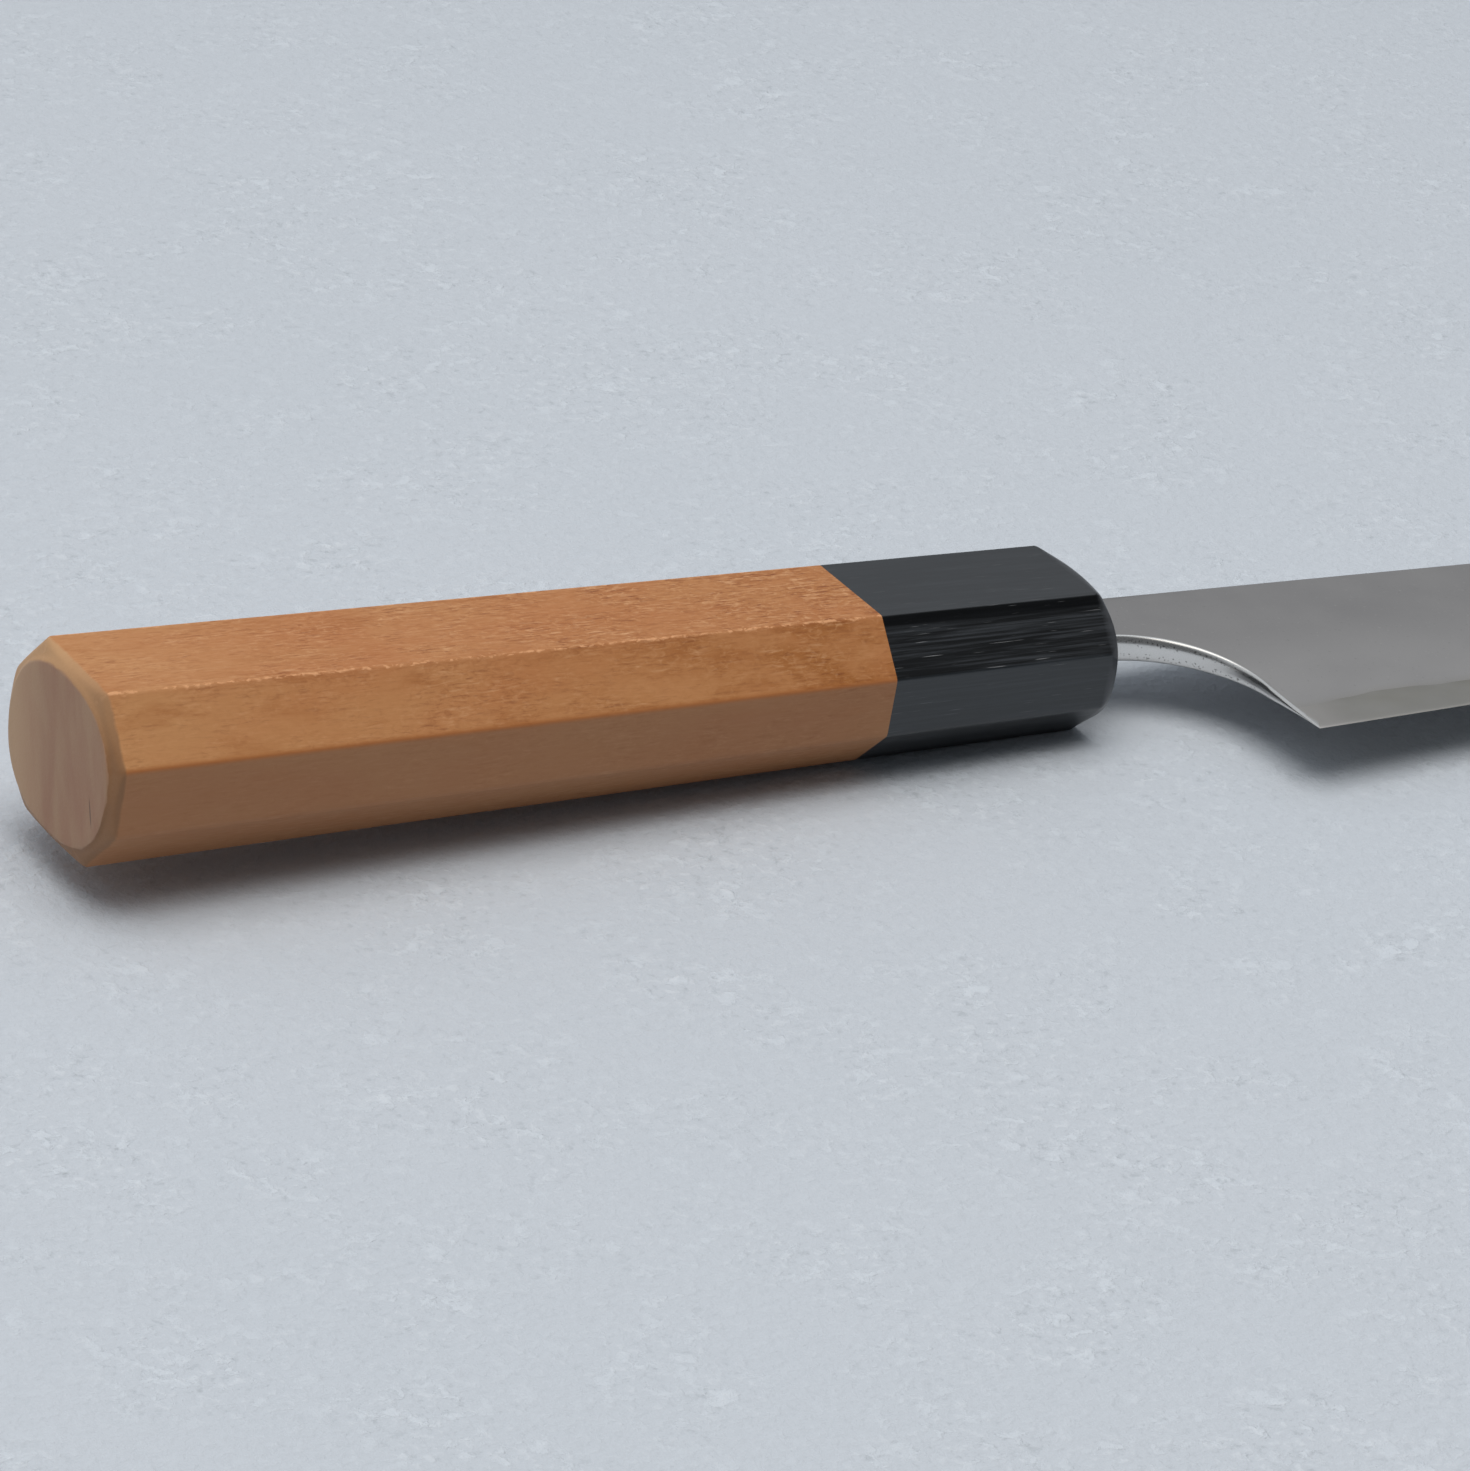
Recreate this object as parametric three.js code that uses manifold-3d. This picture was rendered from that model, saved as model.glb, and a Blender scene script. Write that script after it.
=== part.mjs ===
// Petty knife with a laminated blade and an octagonal wooden handle, in millimetres.
// X runs from the butt to the tip, Y towards the spine, and Z out of the blade's right face.
// The origin is the centre of the butt's flat end, on the handle's axis.

import * as THREE from "three";
import { mergeVertices } from "three/addons/utils/BufferGeometryUtils.js";
import Module from "manifold-3d";

// Handle: an octagon that tapers from the butt to the ferrule's front
const HANDLE_LENGTH = 117.4;
const FERRULE_LENGTH = 28;
const BUTT_HEIGHT = 23.3;
const BUTT_THICKNESS = 18.7;
const BUTT_CORNER_Y = 5.25;
const BUTT_CORNER_Z = 5.8;
const FRONT_HEIGHT = 20.8;
const FRONT_THICKNESS = 15.8;
const FRONT_CORNER_Y = 4.5;
const FRONT_CORNER_Z = 4.85;
const RIDGE_EASE = 0.6;

// Both ends are sanded round, so that the ridges run out and the end face is an oval.
const BUTT_EASE_DEPTH = 1.5;
const BUTT_OVAL_HEIGHT = 20.3;
const BUTT_OVAL_THICKNESS = 16.1;
const BUTT_OVAL_SHIFT = -0.37;
const FRONT_EASE_DEPTH = 1.4;
const FRONT_OVAL_HEIGHT = 20.2;
const FRONT_OVAL_THICKNESS = 15.2;
// The oval is an ellipse at 2 and squarer above it.
const OVAL_POWER = 2.35;
// An eased edge lies between a flat chamfer, at 1, and a round, at 2.
const EASE_FULLNESS = 1.6;

// Joinery inside the handle
const DOWEL_DIAMETER = 11.5;
const DOWEL_IN_BODY = 26;
const FERRULE_FRONT_WALL = 6;
const GLUE_LINE = 0.1;
const END_GAP = 0.3;
const RESIN_BED = 0.65;
const TANG_HOLE_RUN_OUT = 3;

// Tang and neck
const TANG_LENGTH = 84;
const TANG_ROOT_HEIGHT = 7.6;
const TANG_END_HEIGHT = 5;
const TANG_END_THICKNESS = 2.4;
const SHOULDER_DEPTH = 4.5;
const SHOULDER_SLOPE_LENGTH = 0.6;
const NECK_THICKNESS = 3.2;
const NECK_TOP = 4.62;
const NECK_DROP = 4.1;
const NECK_STRAIGHT = 2.15;

// Heel notch: a quarter ellipse from the neck's underside, then a straight run to the heel
const NOTCH_SWEEP_LENGTH = 12.7;
const NOTCH_SWEEP_DROP = 12.8;
const HEEL_REACH = 15.55;
const HEEL_DROP = 25.2;
const NOTCH_EDGE_EASE = 0.9;

// Blade outline
const BLADE_LENGTH = 150;
const TIP_DROP = 1.5;
const SPINE_SLOPE = 0.0152;
const SPINE_CURVE_POWER = 4;
const EDGE_SLOPE = 0.047;
const EDGE_CURVE_POWER = 3.2;
const SPINE_ABOVE_HEEL = 18;

// Blade section: thin behind the edge, convex above it, and thinner towards the tip
const TIP_THICKNESS = 0.7;
const GRIND_START = 8;
const GRIND_LOWER_POWER = 1.45;
const GRIND_UPPER_POWER = 2.8;
const BEHIND_EDGE_THICKNESS = 0.16;
const BEVEL_ANGLE = THREE.MathUtils.degToRad(12);
const SPINE_EASE = 0.3;
const LARGEST_EASE = 0.6;
const NECK_CORE_THICKNESS = 0.75;
const TIP_CORE_THICKNESS = 0.22;

// The weld line wavers along the blade, because the forged core is a little thicker and thinner by turns.
const WELD_WAVES = [
  { length: 31, height: 0.045, start: -4 },
  { length: 13, height: 0.025, start: 3 },
];

// Facets
const ROUND_SEGMENTS = 40;
const EASE_STEPS = 4;
const RIDGE_STEPS = 3;
const SIDE_STEPS = 5;
const SWEEP_STEPS = 16;
const NOTCH_STEPS = 5;
const EDGE_STEPS = 56;
const BARE_ROWS = [0, 0.1, 0.5];
const CLAD_ROWS = [0, 0.01, 0.03, 0.06, 0.12, 0.24, 0.4, 0.58, 0.78, 0.985, 1];
const MERGE_DISTANCE = 1e-4;
const LARGEST_RIDGE_SHARE = 0.45;
const TIP_CROWDING = 0.6;
const HIGHEST_WELD = 0.5;
const WELD_HALVINGS = 40;

// Places along X that several pieces share
const FERRULE_FRONT = HANDLE_LENGTH;
const FERRULE_BACK = FERRULE_FRONT - FERRULE_LENGTH;
const FERRULE_BORE_END = FERRULE_FRONT - FERRULE_FRONT_WALL;
const DOWEL_BACK = FERRULE_BACK - DOWEL_IN_BODY;
const DOWEL_FRONT = FERRULE_BORE_END - END_GAP;
const TANG_END = FERRULE_FRONT - TANG_LENGTH;
const TANG_HOLE_END = TANG_END - TANG_HOLE_RUN_OUT;
const SHOULDER = FERRULE_FRONT - SHOULDER_DEPTH;
const NECK_END = FERRULE_FRONT + NECK_STRAIGHT;
const HEEL = FERRULE_FRONT + HEEL_REACH;
const TIP = HEEL + BLADE_LENGTH;

// The hole for the tang leaves room for the resin all round the tang's root.
const TANG_HOLE_HEIGHT = TANG_ROOT_HEIGHT + 2 * RESIN_BED;
const TANG_HOLE_WIDTH = NECK_THICKNESS + 2 * RESIN_BED;

const { lerp, smoothstep } = THREE.MathUtils;
const wasm = await Module();
wasm.setup();

// Closed geometry from loose triangles: shared points become one, and collapsed triangles go.
function closedGeometry(corners) {
  const loose = new THREE.BufferGeometry();
  loose.setAttribute("position", new THREE.Float32BufferAttribute(corners.flat(2), 3));
  const merged = mergeVertices(loose, MERGE_DISTANCE);
  const kept = [];
  for (let i = 0; i < merged.index.count; i += 3) {
    const [a, b, c] = [0, 1, 2].map((k) => merged.index.getX(i + k));
    if (a !== b && b !== c && c !== a) kept.push(a, b, c);
  }
  merged.setIndex(kept);
  merged.computeVertexNormals();
  return merged;
}

// Two triangles over a quad, split along its shorter diagonal, so that faces which touch are split alike.
function quad(a, b, c, d) {
  const span = (p, q) => Math.hypot(p[0] - q[0], p[1] - q[1], p[2] - q[2]);
  return span(a, c) < span(b, d) ? [[a, b, c], [a, c, d]] : [[a, b, d], [b, c, d]];
}

// Solid through rings of equally many points, which run anticlockwise seen from the +X end.
function loft(rings) {
  const triangles = [];
  const count = rings[0].length;
  for (let i = 0; i + 1 < rings.length; i += 1) {
    for (let j = 0; j < count; j += 1) {
      const next = (j + 1) % count;
      triangles.push(...quad(rings[i][j], rings[i][next], rings[i + 1][next], rings[i + 1][j]));
    }
  }
  const centre = (ring) => [0, 1, 2].map((k) => ring.reduce((sum, point) => sum + point[k], 0) / count);
  const first = rings[0];
  const last = rings[rings.length - 1];
  const [firstCentre, lastCentre] = [centre(first), centre(last)];
  for (let j = 0; j < count; j += 1) {
    const next = (j + 1) % count;
    triangles.push([firstCentre, first[next], first[j]], [lastCentre, last[j], last[next]]);
  }
  return closedGeometry(triangles);
}

function boxBetween(low, high) {
  const size = high.map((value, k) => value - low[k]);
  const middle = high.map((value, k) => (value + low[k]) / 2);
  return new THREE.BoxGeometry(...size).translate(...middle);
}

function roundBar(start, end, diameter) {
  const bar = new THREE.CylinderGeometry(diameter / 2, diameter / 2, end - start, ROUND_SEGMENTS);
  return bar.rotateZ(-Math.PI / 2).translate((start + end) / 2, 0, 0);
}

function toSolid(geometry) {
  const bare = new THREE.BufferGeometry();
  bare.setAttribute("position", geometry.getAttribute("position").clone());
  if (geometry.index) bare.setIndex(geometry.index.clone());
  const merged = mergeVertices(bare, MERGE_DISTANCE);
  const vertProperties = new Float32Array(merged.getAttribute("position").array);
  const triVerts = new Uint32Array(merged.index.array);
  return new wasm.Manifold(new wasm.Mesh({ numProp: 3, vertProperties, triVerts }));
}

// What is left of a geometry when others are cut out of it.
function cut(geometry, cutters) {
  const solid = cutters.reduce((rest, cutter) => rest.subtract(toSolid(cutter)), toSolid(geometry));
  const mesh = solid.getMesh();
  const result = new THREE.BufferGeometry();
  result.setAttribute("position", new THREE.Float32BufferAttribute(mesh.vertProperties, 3));
  result.setIndex(Array.from(mesh.triVerts));
  result.computeVertexNormals();
  return result;
}

// Octagon across the handle at x, with its eight ridges eased and each side divided for the oval ends.
function octagonRing(x) {
  const taper = x / HANDLE_LENGTH;
  const y = lerp(BUTT_HEIGHT, FRONT_HEIGHT, taper) / 2;
  const z = lerp(BUTT_THICKNESS, FRONT_THICKNESS, taper) / 2;
  const sideZ = z - lerp(BUTT_CORNER_Z, FRONT_CORNER_Z, taper);
  const flatY = y - lerp(BUTT_CORNER_Y, FRONT_CORNER_Y, taper);
  const upper = [[y, sideZ], [flatY, z], [-flatY, z], [-y, sideZ]];
  const corners = [...upper, ...upper.map(([py, pz]) => [-py, -pz])].map((point) => new THREE.Vector2(...point));
  const ridges = corners.map((corner, k) => {
    const before = corners[(k + corners.length - 1) % corners.length];
    const after = corners[(k + 1) % corners.length];
    const towards = (end) => {
      const share = RIDGE_EASE / corner.distanceTo(end);
      return corner.clone().lerp(end, Math.min(share, LARGEST_RIDGE_SHARE));
    };
    return new THREE.QuadraticBezierCurve(towards(before), corner, towards(after)).getPoints(RIDGE_STEPS);
  });
  return ridges.flatMap((ridge, k) => {
    const sideEnd = ridges[(k + 1) % ridges.length][0];
    const side = new THREE.LineCurve(ridge[RIDGE_STEPS], sideEnd).getPoints(SIDE_STEPS).slice(1, SIDE_STEPS);
    return [...ridge, ...side].map((point) => [x, point.x, point.y]);
  });
}

// Where the oval's outline lies in the direction of a point.
function onOval([x, y, z], { height, thickness, shift }) {
  const across = Math.abs((2 * y) / height) ** OVAL_POWER + Math.abs((2 * z) / thickness) ** OVAL_POWER;
  const size = across ** (1 / OVAL_POWER);
  return [x, y / size + shift, z / size];
}

// Rings of an eased end edge, from the oval end face at x to the full octagon.
function easedRings(x, direction, depth, oval) {
  const rings = [];
  for (let k = 0; k <= EASE_STEPS; k += 1) {
    const turn = (k / EASE_STEPS) * (Math.PI / 2);
    const along = 1 - Math.cos(turn) ** (2 / EASE_FULLNESS);
    const risen = Math.sin(turn) ** (2 / EASE_FULLNESS);
    const full = octagonRing(x + direction * depth * along);
    rings.push(full.map((point) => onOval(point, oval).map((value, axis) => lerp(value, point[axis], risen))));
  }
  return rings;
}

const dowelBore = roundBar(DOWEL_BACK - END_GAP, FERRULE_BORE_END, DOWEL_DIAMETER + 2 * GLUE_LINE);
const tangHole = boxBetween(
  [TANG_HOLE_END, -TANG_HOLE_HEIGHT / 2, -TANG_HOLE_WIDTH / 2],
  [FERRULE_BORE_END, TANG_HOLE_HEIGHT / 2, TANG_HOLE_WIDTH / 2],
);

function handleBodyGeometry() {
  const oval = { height: BUTT_OVAL_HEIGHT, thickness: BUTT_OVAL_THICKNESS, shift: BUTT_OVAL_SHIFT };
  const grip = loft([...easedRings(0, 1, BUTT_EASE_DEPTH, oval), octagonRing(FERRULE_BACK)]);
  return cut(grip, [dowelBore, tangHole]);
}

function ferruleGeometry() {
  const oval = { height: FRONT_OVAL_HEIGHT, thickness: FRONT_OVAL_THICKNESS, shift: 0 };
  const front = easedRings(FERRULE_FRONT, -1, FRONT_EASE_DEPTH, oval).reverse();
  const collar = loft([octagonRing(FERRULE_BACK), ...front]);
  const neckSlot = boxBetween(
    [FERRULE_BACK, -NECK_DROP - GLUE_LINE, -NECK_THICKNESS / 2 - GLUE_LINE],
    [FERRULE_FRONT + END_GAP, NECK_TOP + GLUE_LINE, NECK_THICKNESS / 2 + GLUE_LINE],
  );
  return cut(collar, [dowelBore, neckSlot]);
}

function dowelGeometry() {
  return cut(roundBar(DOWEL_BACK, DOWEL_FRONT, DOWEL_DIAMETER), [tangHole]);
}

// The tang as a tapered bar, grown all round, from its end to x.
function tangBar(x, grown) {
  const ringAt = (place, height, thickness) => {
    const y = height / 2 + grown;
    const z = thickness / 2 + grown;
    return [[place, y, -z], [place, y, z], [place, -y, z], [place, -y, -z]];
  };
  return loft([
    ringAt(TANG_END - grown, TANG_END_HEIGHT, TANG_END_THICKNESS),
    ringAt(x, tangHeight(x), tangThickness(x)),
  ]);
}

function resinGeometry() {
  const filling = boxBetween(
    [TANG_HOLE_END + GLUE_LINE, -TANG_HOLE_HEIGHT / 2 + GLUE_LINE, -TANG_HOLE_WIDTH / 2 + GLUE_LINE],
    [DOWEL_FRONT, TANG_HOLE_HEIGHT / 2 - GLUE_LINE, TANG_HOLE_WIDTH / 2 - GLUE_LINE],
  );
  return cut(filling, [tangBar(SHOULDER, GLUE_LINE)]);
}

function tangHeight(x) {
  return lerp(TANG_END_HEIGHT, TANG_ROOT_HEIGHT, (x - TANG_END) / (SHOULDER - TANG_END));
}

function tangThickness(x) {
  return lerp(TANG_END_THICKNESS, NECK_THICKNESS, (x - TANG_END) / (SHOULDER - TANG_END));
}

// Blade outline: the spine falls away slowly and then faster, and the edge rises to meet it at the tip.
function spineY(x) {
  const run = Math.max(x - FERRULE_FRONT, 0);
  const reach = TIP - FERRULE_FRONT;
  const fall = NECK_TOP + TIP_DROP - SPINE_SLOPE * reach;
  return NECK_TOP - SPINE_SLOPE * run - fall * (run / reach) ** SPINE_CURVE_POWER;
}

function edgeY(x) {
  const run = x - HEEL;
  const rise = HEEL_DROP - TIP_DROP - EDGE_SLOPE * BLADE_LENGTH;
  return -HEEL_DROP + EDGE_SLOPE * run + rise * (Math.max(run, 0) / BLADE_LENGTH) ** EDGE_CURVE_POWER;
}

// Half the steel's thickness at a point, and half the core's, before any corner is eased.
function bladeShare(x) {
  return THREE.MathUtils.clamp((x - FERRULE_FRONT) / (TIP - FERRULE_FRONT), 0, 1);
}

function halfThickness(x, y) {
  if (x <= SHOULDER) return tangThickness(x) / 2;
  const flat = lerp(NECK_THICKNESS, TIP_THICKNESS, bladeShare(x)) / 2;
  const level = THREE.MathUtils.clamp((y - edgeY(x)) / (spineY(x) - edgeY(x)), 0, 1);
  const swell = 1 - (1 - level ** GRIND_LOWER_POWER) ** GRIND_UPPER_POWER;
  const ground = lerp(BEHIND_EDGE_THICKNESS / 2, flat, swell);
  return lerp(flat, ground, smoothstep(x, FERRULE_FRONT, FERRULE_FRONT + GRIND_START));
}

function halfCore(x) {
  const run = Math.max(x - HEEL, 0);
  const waver = WELD_WAVES.reduce(
    (sum, { length, height, start }) => sum + height * Math.sin((2 * Math.PI * (run + start)) / length),
    0,
  );
  const even = lerp(NECK_CORE_THICKNESS, TIP_CORE_THICKNESS, bladeShare(x)) / 2;
  return even * (1 + waver);
}

// How far a corner rounded by radius has fallen away at a distance from its edge.
function cornerFall(distance, radius) {
  const inside = Math.max(radius - distance, 0);
  return radius - Math.sqrt(radius * radius - inside * inside);
}

// Stations across the steel, from the tang's end to the tip: each is a line from the lower outline to the spine.
function bladeStations() {
  const stations = [];
  const add = (lowX, lowY, highX, highY, sharp) => {
    stations.push({ low: [lowX, lowY], high: [highX, highY], sharp });
  };
  for (const x of [TANG_END, SHOULDER]) add(x, -tangHeight(x) / 2, x, tangHeight(x) / 2, false);
  const shoulderFront = SHOULDER + SHOULDER_SLOPE_LENGTH;
  for (const x of [shoulderFront, FERRULE_FRONT, NECK_END]) add(x, -NECK_DROP, x, spineY(x), false);
  const notchCount = SWEEP_STEPS + NOTCH_STEPS;
  const fanEnd = HEEL + SPINE_ABOVE_HEEL;
  for (let k = 1; k < notchCount; k += 1) {
    const spineX = lerp(NECK_END, fanEnd, k / notchCount);
    const turn = (Math.min(k, SWEEP_STEPS) / SWEEP_STEPS) * (Math.PI / 2);
    const down = Math.max(k - SWEEP_STEPS, 0) / NOTCH_STEPS;
    const lowX = lerp(NECK_END + NOTCH_SWEEP_LENGTH * Math.sin(turn), HEEL, down);
    const lowY = lerp(-NECK_DROP - NOTCH_SWEEP_DROP * (1 - Math.cos(turn)), -HEEL_DROP, down);
    add(lowX, lowY, spineX, spineY(spineX), false);
  }
  for (let k = 0; k <= EDGE_STEPS; k += 1) {
    const even = k / EDGE_STEPS;
    const share = lerp(even, Math.sin(even * (Math.PI / 2)), TIP_CROWDING);
    const lowX = lerp(HEEL, TIP, share);
    const highX = lerp(fanEnd, TIP, share);
    add(lowX, edgeY(lowX), highX, spineY(highX), true);
  }
  return stations;
}

// A station's point at a level from 0 on the lower outline to 1 on the spine, with half the steel's thickness.
function stationPoint(station, level) {
  const x = lerp(station.low[0], station.high[0], level);
  const y = lerp(station.low[1], station.high[1], level);
  const length = Math.hypot(station.high[0] - station.low[0], station.high[1] - station.low[1]);
  if (length < MERGE_DISTANCE) return { x, y, half: 0, core: 0 };
  const full = halfThickness(x, y);
  const fromLow = level * length;
  const fromSpine = (1 - level) * length;
  const bevelled = Math.min(full, fromLow * Math.tan(BEVEL_ANGLE));
  const notched = full - cornerFall(fromLow, Math.min(NOTCH_EDGE_EASE, full * LARGEST_EASE));
  const lower = station.sharp ? bevelled : notched;
  const half = lower - cornerFall(fromSpine, Math.min(SPINE_EASE, lower * LARGEST_EASE));
  return { x, y, half, core: Math.min(half, halfCore(x)) };
}

// The level where the core comes to the surface, below which there is no cladding.
function weldLevel(station) {
  const covered = (level) => {
    const { x, half } = stationPoint(station, level);
    return half > halfCore(x);
  };
  if (covered(0)) return 0;
  let [bare, clad] = [0, HIGHEST_WELD];
  for (let k = 0; k < WELD_HALVINGS; k += 1) {
    const middle = (bare + clad) / 2;
    if (covered(middle)) clad = middle;
    else bare = middle;
  }
  return clad;
}

function cladLevels(weld) {
  return CLAD_ROWS.map((row) => lerp(weld, 1, row));
}

// Solid between two faces of the steel: each station's rows go up one face and down the other.
function bladeLayer(stations, levelsOf, faceA, faceB) {
  const rings = stations.map((station) => {
    const points = levelsOf(weldLevel(station)).map((level) => stationPoint(station, level));
    const up = points.map((point) => [point.x, point.y, faceA(point)]);
    const down = points.map((point) => [point.x, point.y, faceB(point)]).reverse();
    return [...up, ...down];
  });
  return loft(rings);
}

function coreGeometry(stations) {
  const levels = (weld) => [...BARE_ROWS.map((row) => row * weld), ...cladLevels(weld)];
  return bladeLayer(stations, levels, (p) => -p.core, (p) => p.core);
}

function rightCladdingGeometry(stations) {
  return bladeLayer(stations, cladLevels, (p) => p.core, (p) => p.half);
}

function leftCladdingGeometry(stations) {
  return bladeLayer(stations, cladLevels, (p) => -p.half, (p) => -p.core);
}

function piece(name, geometry, color, roughness, metalness) {
  const material = new THREE.MeshStandardMaterial({ color, roughness, metalness });
  const mesh = new THREE.Mesh(geometry, material);
  mesh.name = name;
  return mesh;
}

const knife = new THREE.Group();
const stations = bladeStations();
const blade = new THREE.Group();
blade.add(
  piece("core_steel", coreGeometry(stations), 0x9a9a98, 0.3, 1),
  piece("right_cladding", rightCladdingGeometry(stations), 0x83827f, 0.42, 1),
  piece("left_cladding", leftCladdingGeometry(stations), 0x83827f, 0.42, 1),
);
const handle = new THREE.Group();
handle.add(
  piece("handle_body", handleBodyGeometry(), 0xb98055, 0.5, 0),
  piece("ferrule", ferruleGeometry(), 0x2b2d30, 0.35, 0),
  piece("tenon_dowel", dowelGeometry(), 0xc8a878, 0.7, 0),
  piece("tang_resin", resinGeometry(), 0xd6c596, 0.3, 0),
);
knife.add(blade, handle);

export default knife;
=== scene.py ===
# %% [markdown]
# # A petty knife with a laminated blade and an octagonal handle
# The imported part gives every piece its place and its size. This file dresses it: each visible piece is made
# again with finer faces, in the same frame and in metres, and gets the surface that the real one has.
# X runs from the butt to the tip, Y towards the spine, and Z out of the blade's right face.

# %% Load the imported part
import math

import bmesh
import bpy
from mathutils import Matrix, Vector


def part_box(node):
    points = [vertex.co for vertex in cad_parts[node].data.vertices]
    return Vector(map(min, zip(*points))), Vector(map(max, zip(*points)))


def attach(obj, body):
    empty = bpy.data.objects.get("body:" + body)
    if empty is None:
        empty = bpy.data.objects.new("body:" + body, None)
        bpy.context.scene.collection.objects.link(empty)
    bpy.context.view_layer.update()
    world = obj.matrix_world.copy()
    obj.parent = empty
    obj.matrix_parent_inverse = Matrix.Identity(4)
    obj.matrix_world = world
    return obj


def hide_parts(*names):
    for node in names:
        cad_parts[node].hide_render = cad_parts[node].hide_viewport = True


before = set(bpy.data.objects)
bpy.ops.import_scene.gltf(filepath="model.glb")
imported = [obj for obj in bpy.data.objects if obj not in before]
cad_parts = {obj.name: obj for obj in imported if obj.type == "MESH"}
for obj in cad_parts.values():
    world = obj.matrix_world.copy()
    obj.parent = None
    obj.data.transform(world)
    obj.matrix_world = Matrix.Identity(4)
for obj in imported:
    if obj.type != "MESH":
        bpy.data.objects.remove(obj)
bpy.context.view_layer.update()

print("pieces in the frame:", sorted(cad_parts))

# %% [markdown]
# ## Camera
# The picture is taken from in front of the butt and a little above the handle, with a long lens that leans
# about ten degrees. A long lens keeps the octagon's ridges almost parallel. The place, the three angles and
# the focal length come from the handle's own ridges, so the knife fills the frame as it does in the picture.

# %% Set up the camera
MM = 0.001
PICTURE_HEIGHT = 1471
FOCAL_LENGTH_PIXELS = 7211
SENSOR_HEIGHT = 36.0
NEAREST_SEEN = 10 * MM
CAMERA_PLACE = Vector((-308.5, -538.8, 306.0)) * MM
AZIMUTH, ELEVATION, LEAN = (math.radians(angle) for angle in (-35.68, 25.27, 10.14))

back = Vector((
    math.sin(AZIMUTH) * math.cos(ELEVATION),
    -math.cos(AZIMUTH) * math.cos(ELEVATION),
    math.sin(ELEVATION),
))
level = Vector((0, 0, 1)).cross(back).normalized()
upright = back.cross(level)
right = level * math.cos(LEAN) + upright * math.sin(LEAN)
up = upright * math.cos(LEAN) - level * math.sin(LEAN)

camera_data = bpy.data.cameras.new("camera")
camera_data.sensor_fit = "VERTICAL"
camera_data.sensor_height = SENSOR_HEIGHT
camera_data.lens = FOCAL_LENGTH_PIXELS * SENSOR_HEIGHT / PICTURE_HEIGHT
camera_data.clip_start = NEAREST_SEEN
camera = bpy.data.objects.new("camera", camera_data)
camera.matrix_world = Matrix.Translation(CAMERA_PLACE) @ Matrix((right, up, back)).transposed().to_4x4()
bpy.context.scene.collection.objects.link(camera)
bpy.context.scene.camera = camera
bpy.context.scene.view_settings.view_transform = "Standard"
print("camera lens", round(camera_data.lens, 1), "mm at", [round(v, 4) for v in camera.location])

# %% [markdown]
# ## Helpers for materials
# Colours are written as they look on a screen, and shaders count in linear light, so one function turns the
# first into the second. Another adds a node to a tree. It takes the node's inputs in the order in which the
# node shows them, or by name from a dictionary, and its settings as keywords, and hands back the node's first
# output. An input that is another node's output becomes a link. Kinds of node that come up often get a short
# name here, some of them together with a setting. Noise that is longer one way than the other, as grain and
# scratches are, comes up often too, so it has a function of its own.

# %% Colour and node helpers
NOISE, MAPPING, MIX, RANGE = "ShaderNodeTexNoise", "ShaderNodeMapping", "ShaderNodeMix", "ShaderNodeMapRange"
MATH, VECTOR_MATH, BUMP = "ShaderNodeMath", "ShaderNodeVectorMath", "ShaderNodeBump"
SPLIT, COMBINE = "ShaderNodeSeparateXYZ", "ShaderNodeCombineXYZ"
COORDINATES, ATTRIBUTE = "ShaderNodeTexCoord", "ShaderNodeAttribute"
BLEND = (MIX, {"data_type": "RGBA"})
PLUS, MINUS, TIMES, OVER, POWER, LARGER, SMALLER, TIMES_PLUS = (
    (MATH, {"operation": name})
    for name in ("ADD", "SUBTRACT", "MULTIPLY", "DIVIDE", "POWER", "MAXIMUM", "MINIMUM", "MULTIPLY_ADD")
)
DOT, SCALED, UNSIGNED = ((VECTOR_MATH, {"operation": name}) for name in ("DOT_PRODUCT", "SCALE", "ABSOLUTE"))


def linear(code):
    channels = [int(code[k:k + 2], 16) / 255 for k in (1, 3, 5)]
    return [c / 12.92 if c <= 0.04045 else ((c + 0.055) / 1.055) ** 2.4 for c in channels] + [1.0]


def give(tree, sockets, values):
    for name, value in values.items():
        if isinstance(value, bpy.types.NodeSocket):
            tree.links.new(value, sockets[name])
        else:
            sockets[name].default_value = value


def add(tree, kind, *inputs, **settings):
    if isinstance(kind, tuple):
        kind, settings = kind
    node = tree.nodes.new(kind)
    for name, value in settings.items():
        setattr(node, name, value)
    if inputs and isinstance(inputs[0], dict):
        give(tree, node.inputs, inputs[0])
    else:
        give(tree, [socket for socket in node.inputs if socket.enabled], dict(enumerate(inputs)))
    return next((socket for socket in node.outputs if socket.enabled), None)


def stretched_noise(tree, place, size, turn=(0, 0, 0), **inputs):
    spread = add(tree, MAPPING, {"Vector": place, "Rotation": turn, "Scale": size}, vector_type="TEXTURE")
    return add(tree, NOISE, {"Vector": spread, "Scale": 1.0, **inputs})


def new_material(name):
    material = bpy.data.materials.new(name)
    material.use_nodes = True
    tree = material.node_tree
    surface = next(node for node in tree.nodes if node.type == "BSDF_PRINCIPLED")
    known = add(tree, COORDINATES).node.outputs
    return material, tree, surface.inputs, known["Object"], known["Normal"]


print("mid grey in linear light:", round(linear("#808080")[0], 4))

# %% [markdown]
# ## The table and the light
# The knife lies on a pale, faintly uneven table. It rests on the ferrule's lower front edge and on its tip,
# so the table leans a little in the knife's frame. One broad softbox hangs almost overhead: the shadow lies
# close under the knife, and its edge is as soft as a softbox that wide makes it. The room is brighter behind
# the knife than in front of it, which the steel and the black ferrule show in their reflections.

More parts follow.
